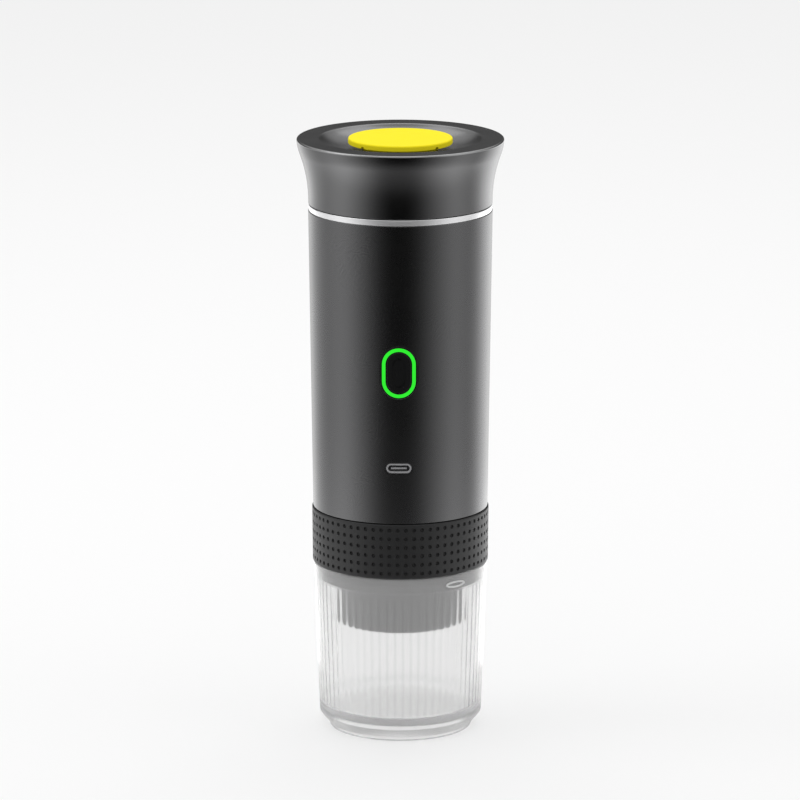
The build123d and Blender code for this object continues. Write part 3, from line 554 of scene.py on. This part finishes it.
nodeFinish = {"cup_seal": "seal_grey"}
for part in frame["record"]["subparts"]:
    nodeData = frame["nodes"][part["node"]].data
    nodeData.materials.clear()
    nodeData.materials.append(materials[nodeFinish.get(part["node"], part["material_slot"])])

# Springs of the pump: each one is a copy of its node's mesh, which takes the node's place

springSizes = {
    "returnSpring": {"node": "return_spring", "pushes": "plunger", "seatAtTop": False},
    "bufferSpring": {"node": "buffer_spring", "pushes": "plunger", "seatAtTop": True},
    "valveSpring": {"node": "valve_spring", "pushes": "valve", "seatAtTop": False},
}
for name, s in springSizes.items():
    spring = addObject(name, frame["nodes"][s["node"]].data.copy())
    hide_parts(s["node"])
    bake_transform(spring)
print("springs:", len(springSizes))

# Cup: smooth outside, fluted inside below its seat, on a narrower foot


def cupOuterRadius(height):
    share = (height - cupSizes["turnHeight"]) / (cupTop - cupSizes["turnHeight"])
    return cupSizes["turnRadius"] + share * (cupSizes["rimRadius"] - cupSizes["turnRadius"])


def makeCup():
    s = cupSizes
    seat = cupTop - s["seatDepth"]
    floorTop = s["footHollow"] + s["floor"]
    wallTop = cupOuterRadius(seat) - s["wall"]
    wallLow = cupOuterRadius(floorTop) - s["wall"]
    corners = [
        (s["footRadius"], 0, s["edge"]),
        (s["footRadius"], s["footHeight"], s["corner"]),
        (s["turnRadius"], s["turnHeight"], s["turnCorner"]),
        (s["rimRadius"], cupTop, s["edge"]),
        (s["rimRadius"] - s["seatWall"], cupTop, s["edge"]),
        (s["rimRadius"] - s["seatWall"], seat, s["edge"] / 2),
        (wallTop, seat, s["edge"] / 2),
        (wallLow, floorTop, s["floorCorner"]),
        (0, floorTop),
        (0, s["footHollow"]),
        (s["footRadius"] - s["footWall"], s["footHollow"], s["edge"]),
        (s["footRadius"] - s["footWall"], 0, s["edge"]),
    ]
    outline = []
    for point in roundedOutline(corners, steps=4):
        last = outline[-1] if outline else point
        if (point - last).length > s["bandedLength"] and min(point.x, last.x) > s["bandedRadius"]:
            outline += [last.lerp(point, step / s["bands"]) for step in range(1, s["bands"])]
        outline.append(point)
    low, high = floorTop + s["floorCorner"], seat - s["fluteBelowSeat"]

    def fluted(point, angle):
        inner = cupOuterRadius(point.y) - s["wall"]
        if not low < point.y < high or point.x > inner + s["fluteSkin"]:
            return point.x
        fade = min(1, (point.y - low) / s["fluteFade"], (high - point.y) / s["fluteFade"])
        return point.x + s["fluteDepth"] * fade * (0.5 + 0.5 * math.cos(s["flutes"] * angle))

    mesh = turnedMesh(outline, s["segments"], fluted)
    addPiece("cupShell", mesh, "frosted_plastic", "cup", "cup")


makeCup()
print("cup made")

# Raised oval mark under the cup's rim

markSizes = {
    "angle": 40.6,  # degrees to the right of the front
    "drop": 3.8 * mm,
    "width": 9.8 * mm,
    "height": 2.8 * mm,
    "line": 0.4 * mm,
    "rise": 0.3 * mm,
    "steps": 72,
    "corners": 8,
}


def makeCupMark():
    s = markSizes
    centreHeight = cupTop - s["drop"]
    mesh = bmesh.new()
    rings = []
    for step in range(s["steps"]):
        turn = 2 * math.pi * step / s["steps"]
        across = (s["width"] / 2 - s["line"]) * math.cos(turn)
        height = centreHeight + (s["height"] / 2 - s["line"]) * math.sin(turn)
        angle = math.radians(s["angle"]) + across / cupSizes["rimRadius"]
        surface = cupOuterRadius(height)
        outward = Vector((math.cos(turn) / (s["width"] / 2), math.sin(turn) / (s["height"] / 2))).normalized()
        ring = []
        for corner in range(s["corners"]):
            bend = 2 * math.pi * corner / s["corners"]
            side = s["line"] * math.cos(bend)
            rise = s["rise"] * math.sin(bend)
            here = angle + outward.x * side / surface
            ring.append(mesh.verts.new(onTube(here, surface + rise, height + outward.y * side)))
        rings.append(ring)
    joinRings(mesh, rings, closed=True)
    faceOutward(mesh)
    addPiece("cupMark", mesh, "frosted_plastic", "cup", material="frostedEdge", sharpAngle=32)


makeCupMark()

# Grip band with its rows of round dimples

gripSizes = {
    "columns": 68,
    "rows": 6,
    "perSide": 4,
    "phase": -0.8,  # degrees from the front to the first column
    "dimpleRadius": 0.78 * mm,
    "dimpleDepth": 0.75 * mm,
    # loops round a dimple, as shares of its radius and of its depth
    "dimpleLoops": [(1.3, 0.0), (1.08, 0.03), (0.96, 0.25), (0.86, 0.7), (0.5, 1.0)],
    "edge": 0.5 * mm,
    "bottomRadius": 35.87 * mm,
    "topRadius": 36.1 * mm,
    "innerRadius": 34.05 * mm,
    "weld": 0.005 * mm,
}


def makeGripBand():
    s = gripSizes
    low, high = nodeHeights("grip_sleeve")
    bandLow, bandHigh = low + s["edge"], high - s["edge"]
    pitch = 2 * math.pi / s["columns"]
    rowPitch = (bandHigh - bandLow) / s["rows"]
    phase = math.radians(s["phase"])
    mesh = bmesh.new()

    def skinRadius(height):
        return s["bottomRadius"] + (height - low) / (high - low) * (s["topRadius"] - s["bottomRadius"])

    def cellEdge(step):
        # a point on the square round a dimple, in shares of its width and height
        side, along = divmod(step, s["perSide"])
        run = along / s["perSide"] - 0.5
        return [(run, 0.5), (0.5, -run), (-run, -0.5), (-0.5, run)][side]

    cell = [cellEdge(step) for step in range(4 * s["perSide"])]
    for column in range(s["columns"]):
        for row in range(s["rows"]):
            centre = phase + column * pitch
            middle = bandLow + (row + 0.5) * rowPitch
            rings = [[]]
            for across, up in cell:
                height = middle + up * rowPitch
                rings[0].append(mesh.verts.new(onTube(centre + across * pitch, skinRadius(height), height)))
            for share, sunk in s["dimpleLoops"]:
                ring = []
                for across, up in cell:
                    direction = Vector((across * pitch * s["topRadius"], up * rowPitch)).normalized()
                    reach = share * s["dimpleRadius"]
                    height = middle + direction.y * reach
                    radius = skinRadius(height) - sunk * s["dimpleDepth"]
                    ring.append(mesh.verts.new(onTube(centre + direction.x * reach / radius, radius, height)))
                rings.append(ring)
            rings.append([mesh.verts.new(onTube(centre, skinRadius(middle) - s["dimpleDepth"], middle))])
            joinRings(mesh, rings)
    edges = list(reversed(roundedOutline([
        (s["innerRadius"], low),
        (s["bottomRadius"], low, s["edge"]),
        (s["topRadius"], high, s["edge"]),
        (s["innerRadius"], high),
    ])))
    strip = [Vector((skinRadius(bandLow), bandLow))]
    strip += [point for point in edges if point.y < bandLow - tiny]
    strip += [point for point in edges if point.y > bandHigh + tiny]
    strip += [Vector((skinRadius(bandHigh), bandHigh))]
    segments = s["columns"] * s["perSide"]
    turns = [phase + 2 * math.pi * (step - s["perSide"] / 2) / segments for step in range(segments)]
    joinRings(mesh, [[mesh.verts.new(onTube(turn, point.x, point.y)) for turn in turns] for point in strip])
    bmesh.ops.remove_doubles(mesh, verts=mesh.verts, dist=s["weld"])
    addPiece("gripBand", faceOutward(mesh), "grip_rubber", "brew", "grip_sleeve")


makeGripBand()
print("grip band made")

# Body tube with the openings for the light ring and the charging port

tubeSizes = {
    "wall": 1.2 * mm,
    "bottomRadius": 35.65 * mm,
    "topRadius": 37.35 * mm,
    "edge": 0.25 * mm,
    "endDepth": 1 * mm,
    "segments": 360,
    "rows": 80,
    "holeEdge": 0.15 * mm,
    "holeEdgeSteps": 4,
    "holeRings": 5,
    "weld": 0.002 * mm,
}
lightSizes = {
    "width": 14.0 * mm,
    "height": 20.9 * mm,
    "line": 1.85 * mm,
    "gap": 0.3 * mm,
    "sunk": 0.02 * mm,
    "depth": 3.9 * mm,
    "edge": 0.25 * mm,
    "stripInset": 0.2 * mm,
    "stripDepth": 0.15 * mm,
    "stripEdge": 0.06 * mm,
    "steps": 96,
    "halfBlock": (10.5 * mm, 14.5 * mm),  # part of the tube's grid that makes room for the opening
}
portSizes = {
    "width": 10.15 * mm,
    "height": 3.9 * mm,
    "line": 0.68 * mm,
    "gap": 0.05 * mm,
    "depth": 1.7 * mm,
    "edge": 0.2 * mm,
    "steps": 96,
    "halfBlock": (8.5 * mm, 5.5 * mm),
}
buttonHeight = sum(nodeHeights("led_ring")) / 2
portHeight = sum(nodeHeights("usb_bezel")) / 2
tubeLow, tubeHigh = nodeHeights("outer_shell")


def tubeRadius(height):
    share = (height - tubeLow) / (tubeHigh - tubeLow)
    return tubeSizes["bottomRadius"] + share * (tubeSizes["topRadius"] - tubeSizes["bottomRadius"])


def tubePoint(flat, centreHeight, sunk=0.0):
    # a point of the front view, laid on the tube's surface or below it
    height = centreHeight + flat.y
    radius = tubeRadius(height) - sunk
    return onTube(math.asin(flat.x / radius), radius, height)


def gridBorder(columns, rows):
    # corners of the grid round a rectangle of its cells, from its top centre clockwise
    left, right = columns.start, columns.stop
    low, high = rows.start, rows.stop
    middle = (left + right) // 2
    path = [(column, high) for column in range(middle, right)]
    path += [(right, row) for row in range(high, low, -1)]
    path += [(column, low) for column in range(right, left, -1)]
    path += [(left, row) for row in range(low, high)]
    path += [(column, high) for column in range(left, middle)]
    return path


def addOpening(mesh, outer, flats, sizes, centre):
    # fills the block between its border and the oval, then turns in over a rounded edge and through the wall
    s = tubeSizes
    rings = [outer]

    def addRing(points, sunk=0.0):
        rings.append([mesh.verts.new(tubePoint(point, centre, sunk)) for point in points])

    mouth = ovalPoints(sizes, len(outer), sizes["gap"] + s["holeEdge"])
    for step in range(1, s["holeRings"] + 1):
        addRing([flat.lerp(point, step / s["holeRings"]) for flat, point in zip(flats, mouth)])
    for step in range(1, s["holeEdgeSteps"] + 1):
        bend = math.radians(90 * step / s["holeEdgeSteps"])
        grow = sizes["gap"] + s["holeEdge"] * (1 - math.sin(bend))
        addRing(ovalPoints(sizes, len(outer), grow), s["holeEdge"] * (1 - math.cos(bend)))
    addRing(ovalPoints(sizes, len(outer), sizes["gap"]), s["wall"])
    joinRings(mesh, rings)


def tubeEnd(end, inward):
    # the wall's end from its inside to its outside, with both edges rounded
    outer, edge = tubeRadius(end), tubeSizes["edge"]
    inner = outer - tubeSizes["wall"]
    corners = [(inner, end + inward), (inner, end, edge), (outer, end, edge), (outer, end + inward)]
    return roundedOutline(corners)[1:-1]


def makeBodyTube():
    s = tubeSizes
    mesh = bmesh.new()
    step = 2 * math.pi / s["segments"]
    straight = tubeHigh - tubeLow - 2 * s["edge"]
    heights = [tubeLow + s["edge"] + straight * row / s["rows"] for row in range(s["rows"] + 1)]
    grid = {}
    for row, height in enumerate(heights):
        for column in range(s["segments"]):
            grid[column, row] = mesh.verts.new(onTube(column * step, tubeRadius(height), height))
    openings = []
    for sizes, centre in ((lightSizes, buttonHeight), (portSizes, portHeight)):
        reachX, reachZ = sizes["halfBlock"]
        half = round(math.asin(reachX / tubeRadius(centre)) / step)
        rows = [row for row, height in enumerate(heights) if abs(height - centre) < reachZ]
        openings.append((sizes, centre, range(-half, half), range(rows[0], rows[-1])))
    for row in range(s["rows"]):
        for column in range(-s["segments"] // 2, s["segments"] // 2):
            if any(column in columns and row in rows for sizes, centre, columns, rows in openings):
                continue
            corners = [(column, row), (column + 1, row), (column + 1, row + 1), (column, row + 1)]
            mesh.faces.new([grid[across % s["segments"], up] for across, up in corners])
    for sizes, centre, columns, rows in openings:
        border = gridBorder(columns, rows)
        outer = [grid[column % s["segments"], row] for column, row in border]
        flats = []
        for column, row in border:
            across = tubeRadius(heights[row]) * math.sin(column * step)
            flats.append(Vector((across, heights[row] - centre)))
        addOpening(mesh, outer, flats, sizes, centre)
    strip = list(reversed(tubeEnd(tubeHigh, -s["endDepth"])))
    strip += [Vector((tubeRadius(tubeLow) - s["wall"], tubeLow + s["endDepth"]))]
    strip += tubeEnd(tubeLow, s["endDepth"])
    circle = range(s["segments"])
    rings = [[grid[column, s["rows"]] for column in circle]]
    for point in strip:
        rings.append([mesh.verts.new(onTube(column * step, point.x, point.y)) for column in circle])
    rings.append([grid[column, 0] for column in circle])
    joinRings(mesh, rings)
    bmesh.ops.remove_doubles(mesh, verts=mesh.verts, dist=s["weld"])
    addPiece("bodyTube", faceOutward(mesh), "body_finish", "main", "outer_shell")


makeBodyTube()
print("body tube made")

# Light ring, button and port rim: ovals that follow the tube's surface


def ovalMesh(sizes, centreHeight, section, capped=False):
    # section holds pairs of growth of the oval and depth under the tube's surface
    # it closes on itself, or else both its ends are capped
    mesh = bmesh.new()
    rings = []
    for grow, sunk in section:
        points = ovalPoints(sizes, sizes["steps"], grow)
        rings.append([mesh.verts.new(tubePoint(point, centreHeight, sunk)) for point in points])
    joinRings(mesh, rings, closed=not capped)
    if capped:
        mesh.faces.new(rings[-1])
        mesh.faces.new(rings[0])
    return faceOutward(mesh)


def barSection(outerGrow, innerGrow, top, bottom, edge):
    # cross-section of an oval bar with softened outer edges
    corners = [(outerGrow, -bottom), (outerGrow, -top, edge), (innerGrow, -top, edge), (innerGrow, -bottom)]
    return [(point.x, -point.y) for point in roundedOutline(corners, steps=4)]


def makeRingCarrier():
    s = lightSizes
    section = barSection(0, -s["line"], s["sunk"], s["depth"], s["edge"])
    mesh = ovalMesh(s, buttonHeight, section)
    addPiece("ringCarrier", mesh, "black_plastic", "main", "led_ring", material="ringCarrier", sharpAngle=50)


def makeLightStrip():
    s = lightSizes
    inset = s["stripInset"]
    section = barSection(-inset, inset - s["line"], 0.0, s["stripDepth"], s["stripEdge"])
    mesh = ovalMesh(s, buttonHeight, section)
    addPiece("lightStrip", mesh, "green_light", "main", "led_ring", sharpAngle=50)


buttonSizes = {
    "gap": 0.2 * mm,
    "depth": 4.9 * mm,
    "sunk": 0.02 * mm,
    "edge": 0.35 * mm,
    "border": 3 * mm,
    "frontRings": (4.2 * mm, 4.8 * mm),  # how far in the front's last two rings lie
}


def makeButton():
    # stands inside the light ring, with a small gap all round
    s = buttonSizes
    side = -lightSizes["line"] - s["gap"]
    corners = [(side, -s["depth"]), (side, -s["sunk"], s["edge"]), (side - s["border"], -s["sunk"])]
    section = [(point.x, -point.y) for point in roundedOutline(corners, steps=5)]
    section += [(-ring - s["gap"], s["sunk"]) for ring in s["frontRings"]]
    mesh = ovalMesh(lightSizes, buttonHeight, section, capped=True)
    addPiece("buttonFace", mesh, "button_plastic", "button", "button_cap", sharpAngle=50)


def makePortRim():
    s = portSizes
    mesh = ovalMesh(s, portHeight, barSection(0, -s["line"], 0.0, s["depth"], s["edge"]))
    addPiece("portRim", mesh, "port_metal", "main", "usb_bezel", sharpAngle=50)


makeRingCarrier()
makeLightStrip()
makeButton()
makePortRim()
print("front pieces made")

# Polished trim ring, slightly crowned

trimSizes = {
    "wall": 2.3 * mm,
    "crown": 0.06 * mm,
    "edge": 0.2 * mm,
    "edgeShare": 0.3,  # share of the edge that its middle point lies in from both faces
    "steps": 12,
    "segments": 360,
}


def makeTrim():
    s = trimSizes
    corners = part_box("trim_ring")
    low, high, radius = corners[0].z, corners[1].z, corners[1].x
    inner, bore = radius - s["crown"], radius - s["wall"]
    edge, soft = s["edge"], s["edge"] * s["edgeShare"]
    outline = [(bore, low), (inner - edge, low), (inner - soft, low + soft)]
    for step in range(s["steps"] + 1):
        share = step / s["steps"]
        crown = s["crown"] * (1 - (2 * share - 1) ** 2)
        outline.append((inner + crown, low + edge + share * (high - low - 2 * edge)))
    outline += [(inner - soft, high - soft), (inner - edge, high), (bore, high)]
    mesh = turnedMesh([Vector(point) for point in outline], s["segments"])
    addPiece("trimBand", mesh, "polished_trim", "main", "trim_ring", sharpAngle=60)


makeTrim()

# Flared lid with its dished top

lidLow, lidHigh = nodeHeights("lid_shell")
lidSizes = {
    "waist": 37.3 * mm,
    "lowEdge": 0.2 * mm,
    "straight": 0.8 * mm,
    "flareRadius": 40.75 * mm,
    "flareDrop": 6.3 * mm,
    "rimRadius": 42.0 * mm,
    "rimDrop": 0.8 * mm,
    "rimEdge": 0.7 * mm,
    "rimHighlightBelow": 0.2 * mm,  # how far under the rim its painted highlight, a paler and glossier finish, reaches
    "flat": 3 * mm,
    "dishEdge": 33.4 * mm,
    "shoulder": (0.9 * mm, 0.31 * mm),
    "dishFloor": 22.4 * mm,
    "dishRun": 1 * mm,  # first stretch of the dish's flat floor
    "dishDepth": 4.5 * mm,
    "hole": 14.2 * mm,
    "holeEdge": 0.3 * mm,
    "roof": 2.1 * mm,
    "bore": 34.9 * mm,
    "segments": 360,
}


def makeLid():
    s = lidSizes
    dish = lidHigh - s["dishDepth"]
    outline = [Vector((s["waist"], lidLow + s["lowEdge"])), Vector((s["waist"], lidLow + s["straight"]))]
    direction = addArc(outline, (0, 1), (s["flareRadius"], lidHigh - s["flareDrop"]), steps=24)
    direction = addArc(outline, direction, (s["rimRadius"], lidHigh - s["rimDrop"]), steps=12)
    addArc(outline, direction, (s["rimRadius"] - s["rimEdge"], lidHigh), steps=8)
    outline += [Vector((s["dishEdge"] + s["flat"], lidHigh)), Vector((s["dishEdge"], lidHigh))]
    reach, drop = s["shoulder"]
    direction = addArc(outline, (-1, 0), (s["dishEdge"] - reach, lidHigh - drop), steps=6)
    addArc(outline, direction, (s["dishFloor"], dish), steps=20)
    outline += roundedOutline([
        (s["dishFloor"] - s["dishRun"], dish),
        (s["hole"], dish, s["holeEdge"]),
        (s["hole"], dish - s["roof"]),
        (s["bore"], dish - s["roof"]),
        (s["bore"], lidLow, s["lowEdge"]),
        (s["waist"], lidLow, s["lowEdge"]),
    ])[:-1]
    mesh = turnedMesh(outline, s["segments"])
    # painted highlight: faces on the rim's edge take the paler, glossier colour
    for face in mesh.faces:
        centre = face.calc_center_median()
        high = centre.z > lidHigh - s["rimDrop"] - s["rimHighlightBelow"]
        if high and centre.xy.length > s["rimRadius"] - s["rimEdge"]:
            face.material_index = 1
    lid = addPiece("lidCap", mesh, "lid_plastic", "lid", "lid_shell", sharpAngle=50)
    lid.data.materials.append(materials["paintedRimHighlight"])


makeLid()

# Soft plug in the lid's filler hole

plugSizes = {
    "radius": 21.15 * mm,
    "thickness": 2.4 * mm,
    "edge": 0.75 * mm,
    "lowEdge": 0.35 * mm,
    "foot": 15.2 * mm,
    "footEdge": 0.2 * mm,
    "footCorner": 0.3 * mm,
    "stem": 14.0 * mm,
    "stemEdge": 0.7 * mm,
    "notches": 4,
    "firstNotch": 45,  # degrees
    "notchRadius": 1.0 * mm,
    "notchLength": 2.4 * mm,
    "segments": 240,
    "notchSegments": 32,
}


def cutAway(mesh, cutterMesh):
    # gives what is left of a closed mesh when another one is taken out of it
    blank, cutter = addMeshObject("plugBlank", mesh), addMeshObject("notches", cutterMesh)
    cut = blank.modifiers.new("cut", "BOOLEAN")
    cut.operation = "DIFFERENCE"
    cut.solver = "EXACT"
    cut.object = cutter
    graph = bpy.context.evaluated_depsgraph_get()
    rest = bmesh.new()
    rest.from_mesh(bpy.data.meshes.new_from_object(blank.evaluated_get(graph)))
    bpy.data.objects.remove(blank)
    bpy.data.objects.remove(cutter)
    return rest


def makePlug():
    s = plugSizes
    low, high = nodeHeights("filler_plug")
    capLow = high - s["thickness"]
    dish = lidHigh - lidSizes["dishDepth"]
    outline = roundedOutline([
        (0, low),
        (s["stem"], low, s["stemEdge"]),
        (s["stem"], dish),
        (s["foot"], dish, s["footEdge"]),
        (s["foot"], capLow, s["footCorner"]),
        (s["radius"], capLow, s["lowEdge"]),
        (s["radius"], high, s["edge"]),
        (0, high),
    ])
    notches = bmesh.new()
    lying = Matrix.Rotation(math.radians(90), 4, "Y")
    for number in range(s["notches"]):
        bearing = math.radians(s["firstNotch"] + 360 * number / s["notches"])
        place = Matrix.Rotation(bearing, 4, "Z") @ Matrix.Translation((s["radius"], 0, capLow)) @ lying
        bmesh.ops.create_cone(
            notches, cap_ends=True, segments=s["notchSegments"], matrix=place,
            radius1=s["notchRadius"], radius2=s["notchRadius"], depth=2 * s["notchLength"],
        )
    mesh = cutAway(turnedMesh(outline, s["segments"]), notches)
    addPiece("fillerPlug", mesh, "yellow_silicone", "plug", "filler_plug")


makePlug()
print("lid and plug made")

# Camera

cameraSizes = {
    "lens": 266.7,
    "sensor": 36.0,
    "shift": -0.0005,
    "clip": (0.05, 100),
    "pitch": 12.87,  # degrees, as is the turn
    "turn": 1.0,
    "distance": 2.416,
    "target": 0.1361,  # height that it aims at
}


def makeCamera():
    s = cameraSizes
    data = bpy.data.cameras.new("camera")
    data.lens = s["lens"]
    data.sensor_width = s["sensor"]
    data.shift_x = s["shift"]
    data.clip_start, data.clip_end = s["clip"]
    camera = addObject("camera", data)
    pitch, turn = math.radians(s["pitch"]), math.radians(s["turn"])
    ground = s["distance"] * math.cos(pitch)
    height = s["target"] + s["distance"] * math.sin(pitch)
    camera.location = (ground * math.sin(turn), -ground * math.cos(turn), height)
    camera.rotation_euler = (math.radians(90) - pitch, 0, turn)
    bpy.context.scene.camera = camera


# Pale paper floor, which looks whiter to the camera and through the cup but keeps its shadow

floorSizes = {"radius": 14.0, "steps": 96, "colour": (0.9, 0.9, 0.9), "roughness": 0.9, "lift": 0.5}


def makeFloor():
    s = floorSizes
    mesh = bmesh.new()
    bmesh.ops.create_circle(mesh, cap_ends=True, segments=s["steps"], radius=s["radius"])
    floor = addMeshObject("floor", mesh)
    shader = {"Base Color": (*s["colour"], 1), "Roughness": s["roughness"], "Specular IOR Level": 0.0}
    material, tree = plainMaterial("floorPaper", shader)
    white = tree.nodes.new("ShaderNodeEmission")
    path = tree.nodes.new("ShaderNodeLightPath").outputs
    seen = mathNode(tree, "MAXIMUM", path["Is Camera Ray"], path["Is Transmission Ray"])
    mixShader(tree, mathNode(tree, "MULTIPLY", seen, s["lift"]), white.outputs["Emission"])
    floor.data.materials.append(material)


# Studio all round: soft to the object, and in its reflections pale overhead and at both sides

worldSizes = {"soft": 0.8, "reflected": 0.75}
skySizes = {
    "low": 12,  # angles in degrees: heights first, then bearings from the front
    "high": 30,
    "darkHalf": 20,
    "paleHalf": 70,
    "backStart": 100,
    "backEnd": 135,
    "backLevel": 0.1,
}


def makeStudioSky():
    # how pale the studio is in each direction above the floor
    s = skySizes
    inputs = [("Direction", vectorSocket, (0, -1, 0))]
    group, entry, leave = newGroup("studioSky", inputs, [("Pale", numberSocket)])
    axes = addNode(group, "ShaderNodeSeparateXYZ", {0: entry["Direction"]}).outputs
    forward = mathNode(group, "MULTIPLY", axes["Y"], -1.0)
    turn = mathNode(group, "ABSOLUTE", mathNode(group, "ARCTAN2", axes["X"], forward))
    rise = mathNode(group, "ARCSINE", axes["Z"])

    def fade(angle, low, high, start, finish):
        return fadeNode(group, angle, math.radians(s[low]), math.radians(s[high]), start, finish)

    front = fade(turn, "darkHalf", "paleHalf", 0, 1)
    back = fade(turn, "backStart", "backEnd", 1, s["backLevel"])
    side = mathNode(group, "MULTIPLY", front, back)
    above = fade(rise, "low", "high", 0, 1)
    setInputs(group, leave, {"Pale": mathNode(group, "MAXIMUM", side, above)})
    return group


def makeWorld():
    world = bpy.data.worlds.new("studio")
    world.use_nodes = True
    tree = world.node_tree
    place = tree.nodes.new("ShaderNodeTexCoord").outputs["Generated"]
    sky = addNode(tree, "ShaderNodeGroup", {"Direction": place}, node_tree=makeStudioSky()).outputs
    path = tree.nodes.new("ShaderNodeLightPath").outputs
    reflected = mathNode(tree, "MULTIPLY", sky["Pale"], worldSizes["reflected"])
    level = addNode(tree, "ShaderNodeMix", {0: path["Is Glossy Ray"], 2: worldSizes["soft"], 3: reflected})
    setInputs(tree, tree.nodes["Background"], {"Color": level.outputs[0], "Strength": 1.0})
    bpy.context.scene.world = world


# Shaded floor that only shows in the object's reflections: dark in front, bright behind both edges

sweepSizes = {
    "near": 0.1,
    "far": 12.0,
    "height": 0.001,
    "steps": 96,
    "glowNear": 0.2,
    "glowFar": 0.48,
    "glowGain": 0.6,
    "glowFloor": 0.11,
    "peak": 2.0,
    "stops": [  # pairs of bearing from the front and paleness
        (-180, 0.5), (-165, 1.0), (-150, 1.5), (-140, 1.35), (-123, 0.95), (-104, 0.72), (-82, 0.95),
        (-70, 0.92), (-52, 0.55), (-38, 0.26), (-25, 0.07), (-12, 0.0), (12, 0.0), (25, 0.07), (38, 0.26),
        (52, 0.5), (70, 0.8), (82, 0.76), (98, 0.58), (111, 0.9), (123, 1.6), (135, 1.9), (150, 1.8),
        (165, 1.2), (180, 0.5),
    ],
}


def makeSweepPaper():
    # glowing paper, whose paleness changes with the bearing and rises close to the object
    s = sweepSizes
    shader = {"Base Color": (0, 0, 0, 1), "Specular IOR Level": 0.0, "Emission Strength": s["peak"]}
    material, tree = plainMaterial("reflectedSweep", shader)
    place = tree.nodes.new("ShaderNodeTexCoord").outputs["Object"]
    quarterTurn = (0, 0, math.radians(90))
    turned = addNode(tree, "ShaderNodeMapping", {"Vector": place, "Rotation": quarterTurn}).outputs["Vector"]
    around = addNode(tree, "ShaderNodeTexGradient", {"Vector": turned}, gradient_type="RADIAL")
    shades = addNode(tree, "ShaderNodeValToRGB", {"Fac": around.outputs["Fac"]})
    ramp = shades.color_ramp.elements
    for bearing, level in s["stops"][1:-1]:
        ramp.new(0.5 + bearing / 360)
    for stop, (bearing, level) in zip(ramp, s["stops"]):
        stop.position = 0.5 + bearing / 360
        stop.color = (level / s["peak"], level / s["peak"], level / s["peak"], 1)
    reach = addNode(tree, "ShaderNodeVectorMath", {0: place}, operation="LENGTH").outputs["Value"]
    glow = fadeNode(tree, reach, s["glowNear"], s["glowFar"], 1, 0)
    gain = mathNode(tree, "ADD", mathNode(tree, "MULTIPLY", glow, s["glowGain"]), 1.0)
    paler = mathNode(tree, "MULTIPLY", shades.outputs["Color"], gain)
    paler = mathNode(tree, "ADD", paler, mathNode(tree, "MULTIPLY", glow, s["glowFloor"]))
    setInputs(tree, tree.nodes["Principled BSDF"], {"Emission Color": paler})
    return material


def makeSweep():
    s = sweepSizes
    mesh = bmesh.new()
    turns = [2 * math.pi * step / s["steps"] for step in range(s["steps"])]
    rings = []
    for radius in (s["near"], s["far"]):
        rings.append([mesh.verts.new(onTube(turn, radius, s["height"])) for turn in turns])
    joinRings(mesh, rings)
    sweep = addMeshObject("reflectedSweep", mesh)
    sweep.data.materials.append(makeSweepPaper())
    for ray in ("camera", "diffuse", "transmission", "shadow"):
        setattr(sweep, "visible_" + ray, False)


# Lamps, which aim a little above the object's middle. Angles are in degrees, and level 1 is plain white.

lampAim = 0.13
lampSizes = {
    "keyLamp": {"azimuth": -85, "elevation": 45, "distance": 1.3, "width": 0.7, "height": 0.7, "level": 1.6},
    "fillLamp": {"azimuth": 75, "elevation": 35, "distance": 1.5, "width": 1.0, "height": 1.0, "level": 0.5},
    "topLamp": {"azimuth": 180, "elevation": 60, "distance": 1.5, "width": 1.4, "height": 0.9, "level": 1.2},
}


def addLamp(name, s):
    data = bpy.data.lights.new(name, "AREA")
    data.shape = "RECTANGLE"
    data.size, data.size_y = s["width"], s["height"]
    data.energy = s["level"] * math.pi * s["width"] * s["height"]
    lamp = addObject(name, data)
    turn, rise = math.radians(s["azimuth"]), math.radians(s["elevation"])
    towards = onTube(turn, math.cos(rise), math.sin(rise))
    lamp.location = Vector((0, 0, lampAim)) + towards * s["distance"]
    lamp.rotation_euler = towards.to_track_quat("Z", "Y").to_euler()
    lamp.visible_camera = False
    lamp.visible_transmission = False


makeCamera()
makeFloor()
makeWorld()
makeSweep()
for name, lamp in lampSizes.items():
    addLamp(name, lamp)
bpy.context.scene.view_settings.view_transform = "Standard"
print("studio made")
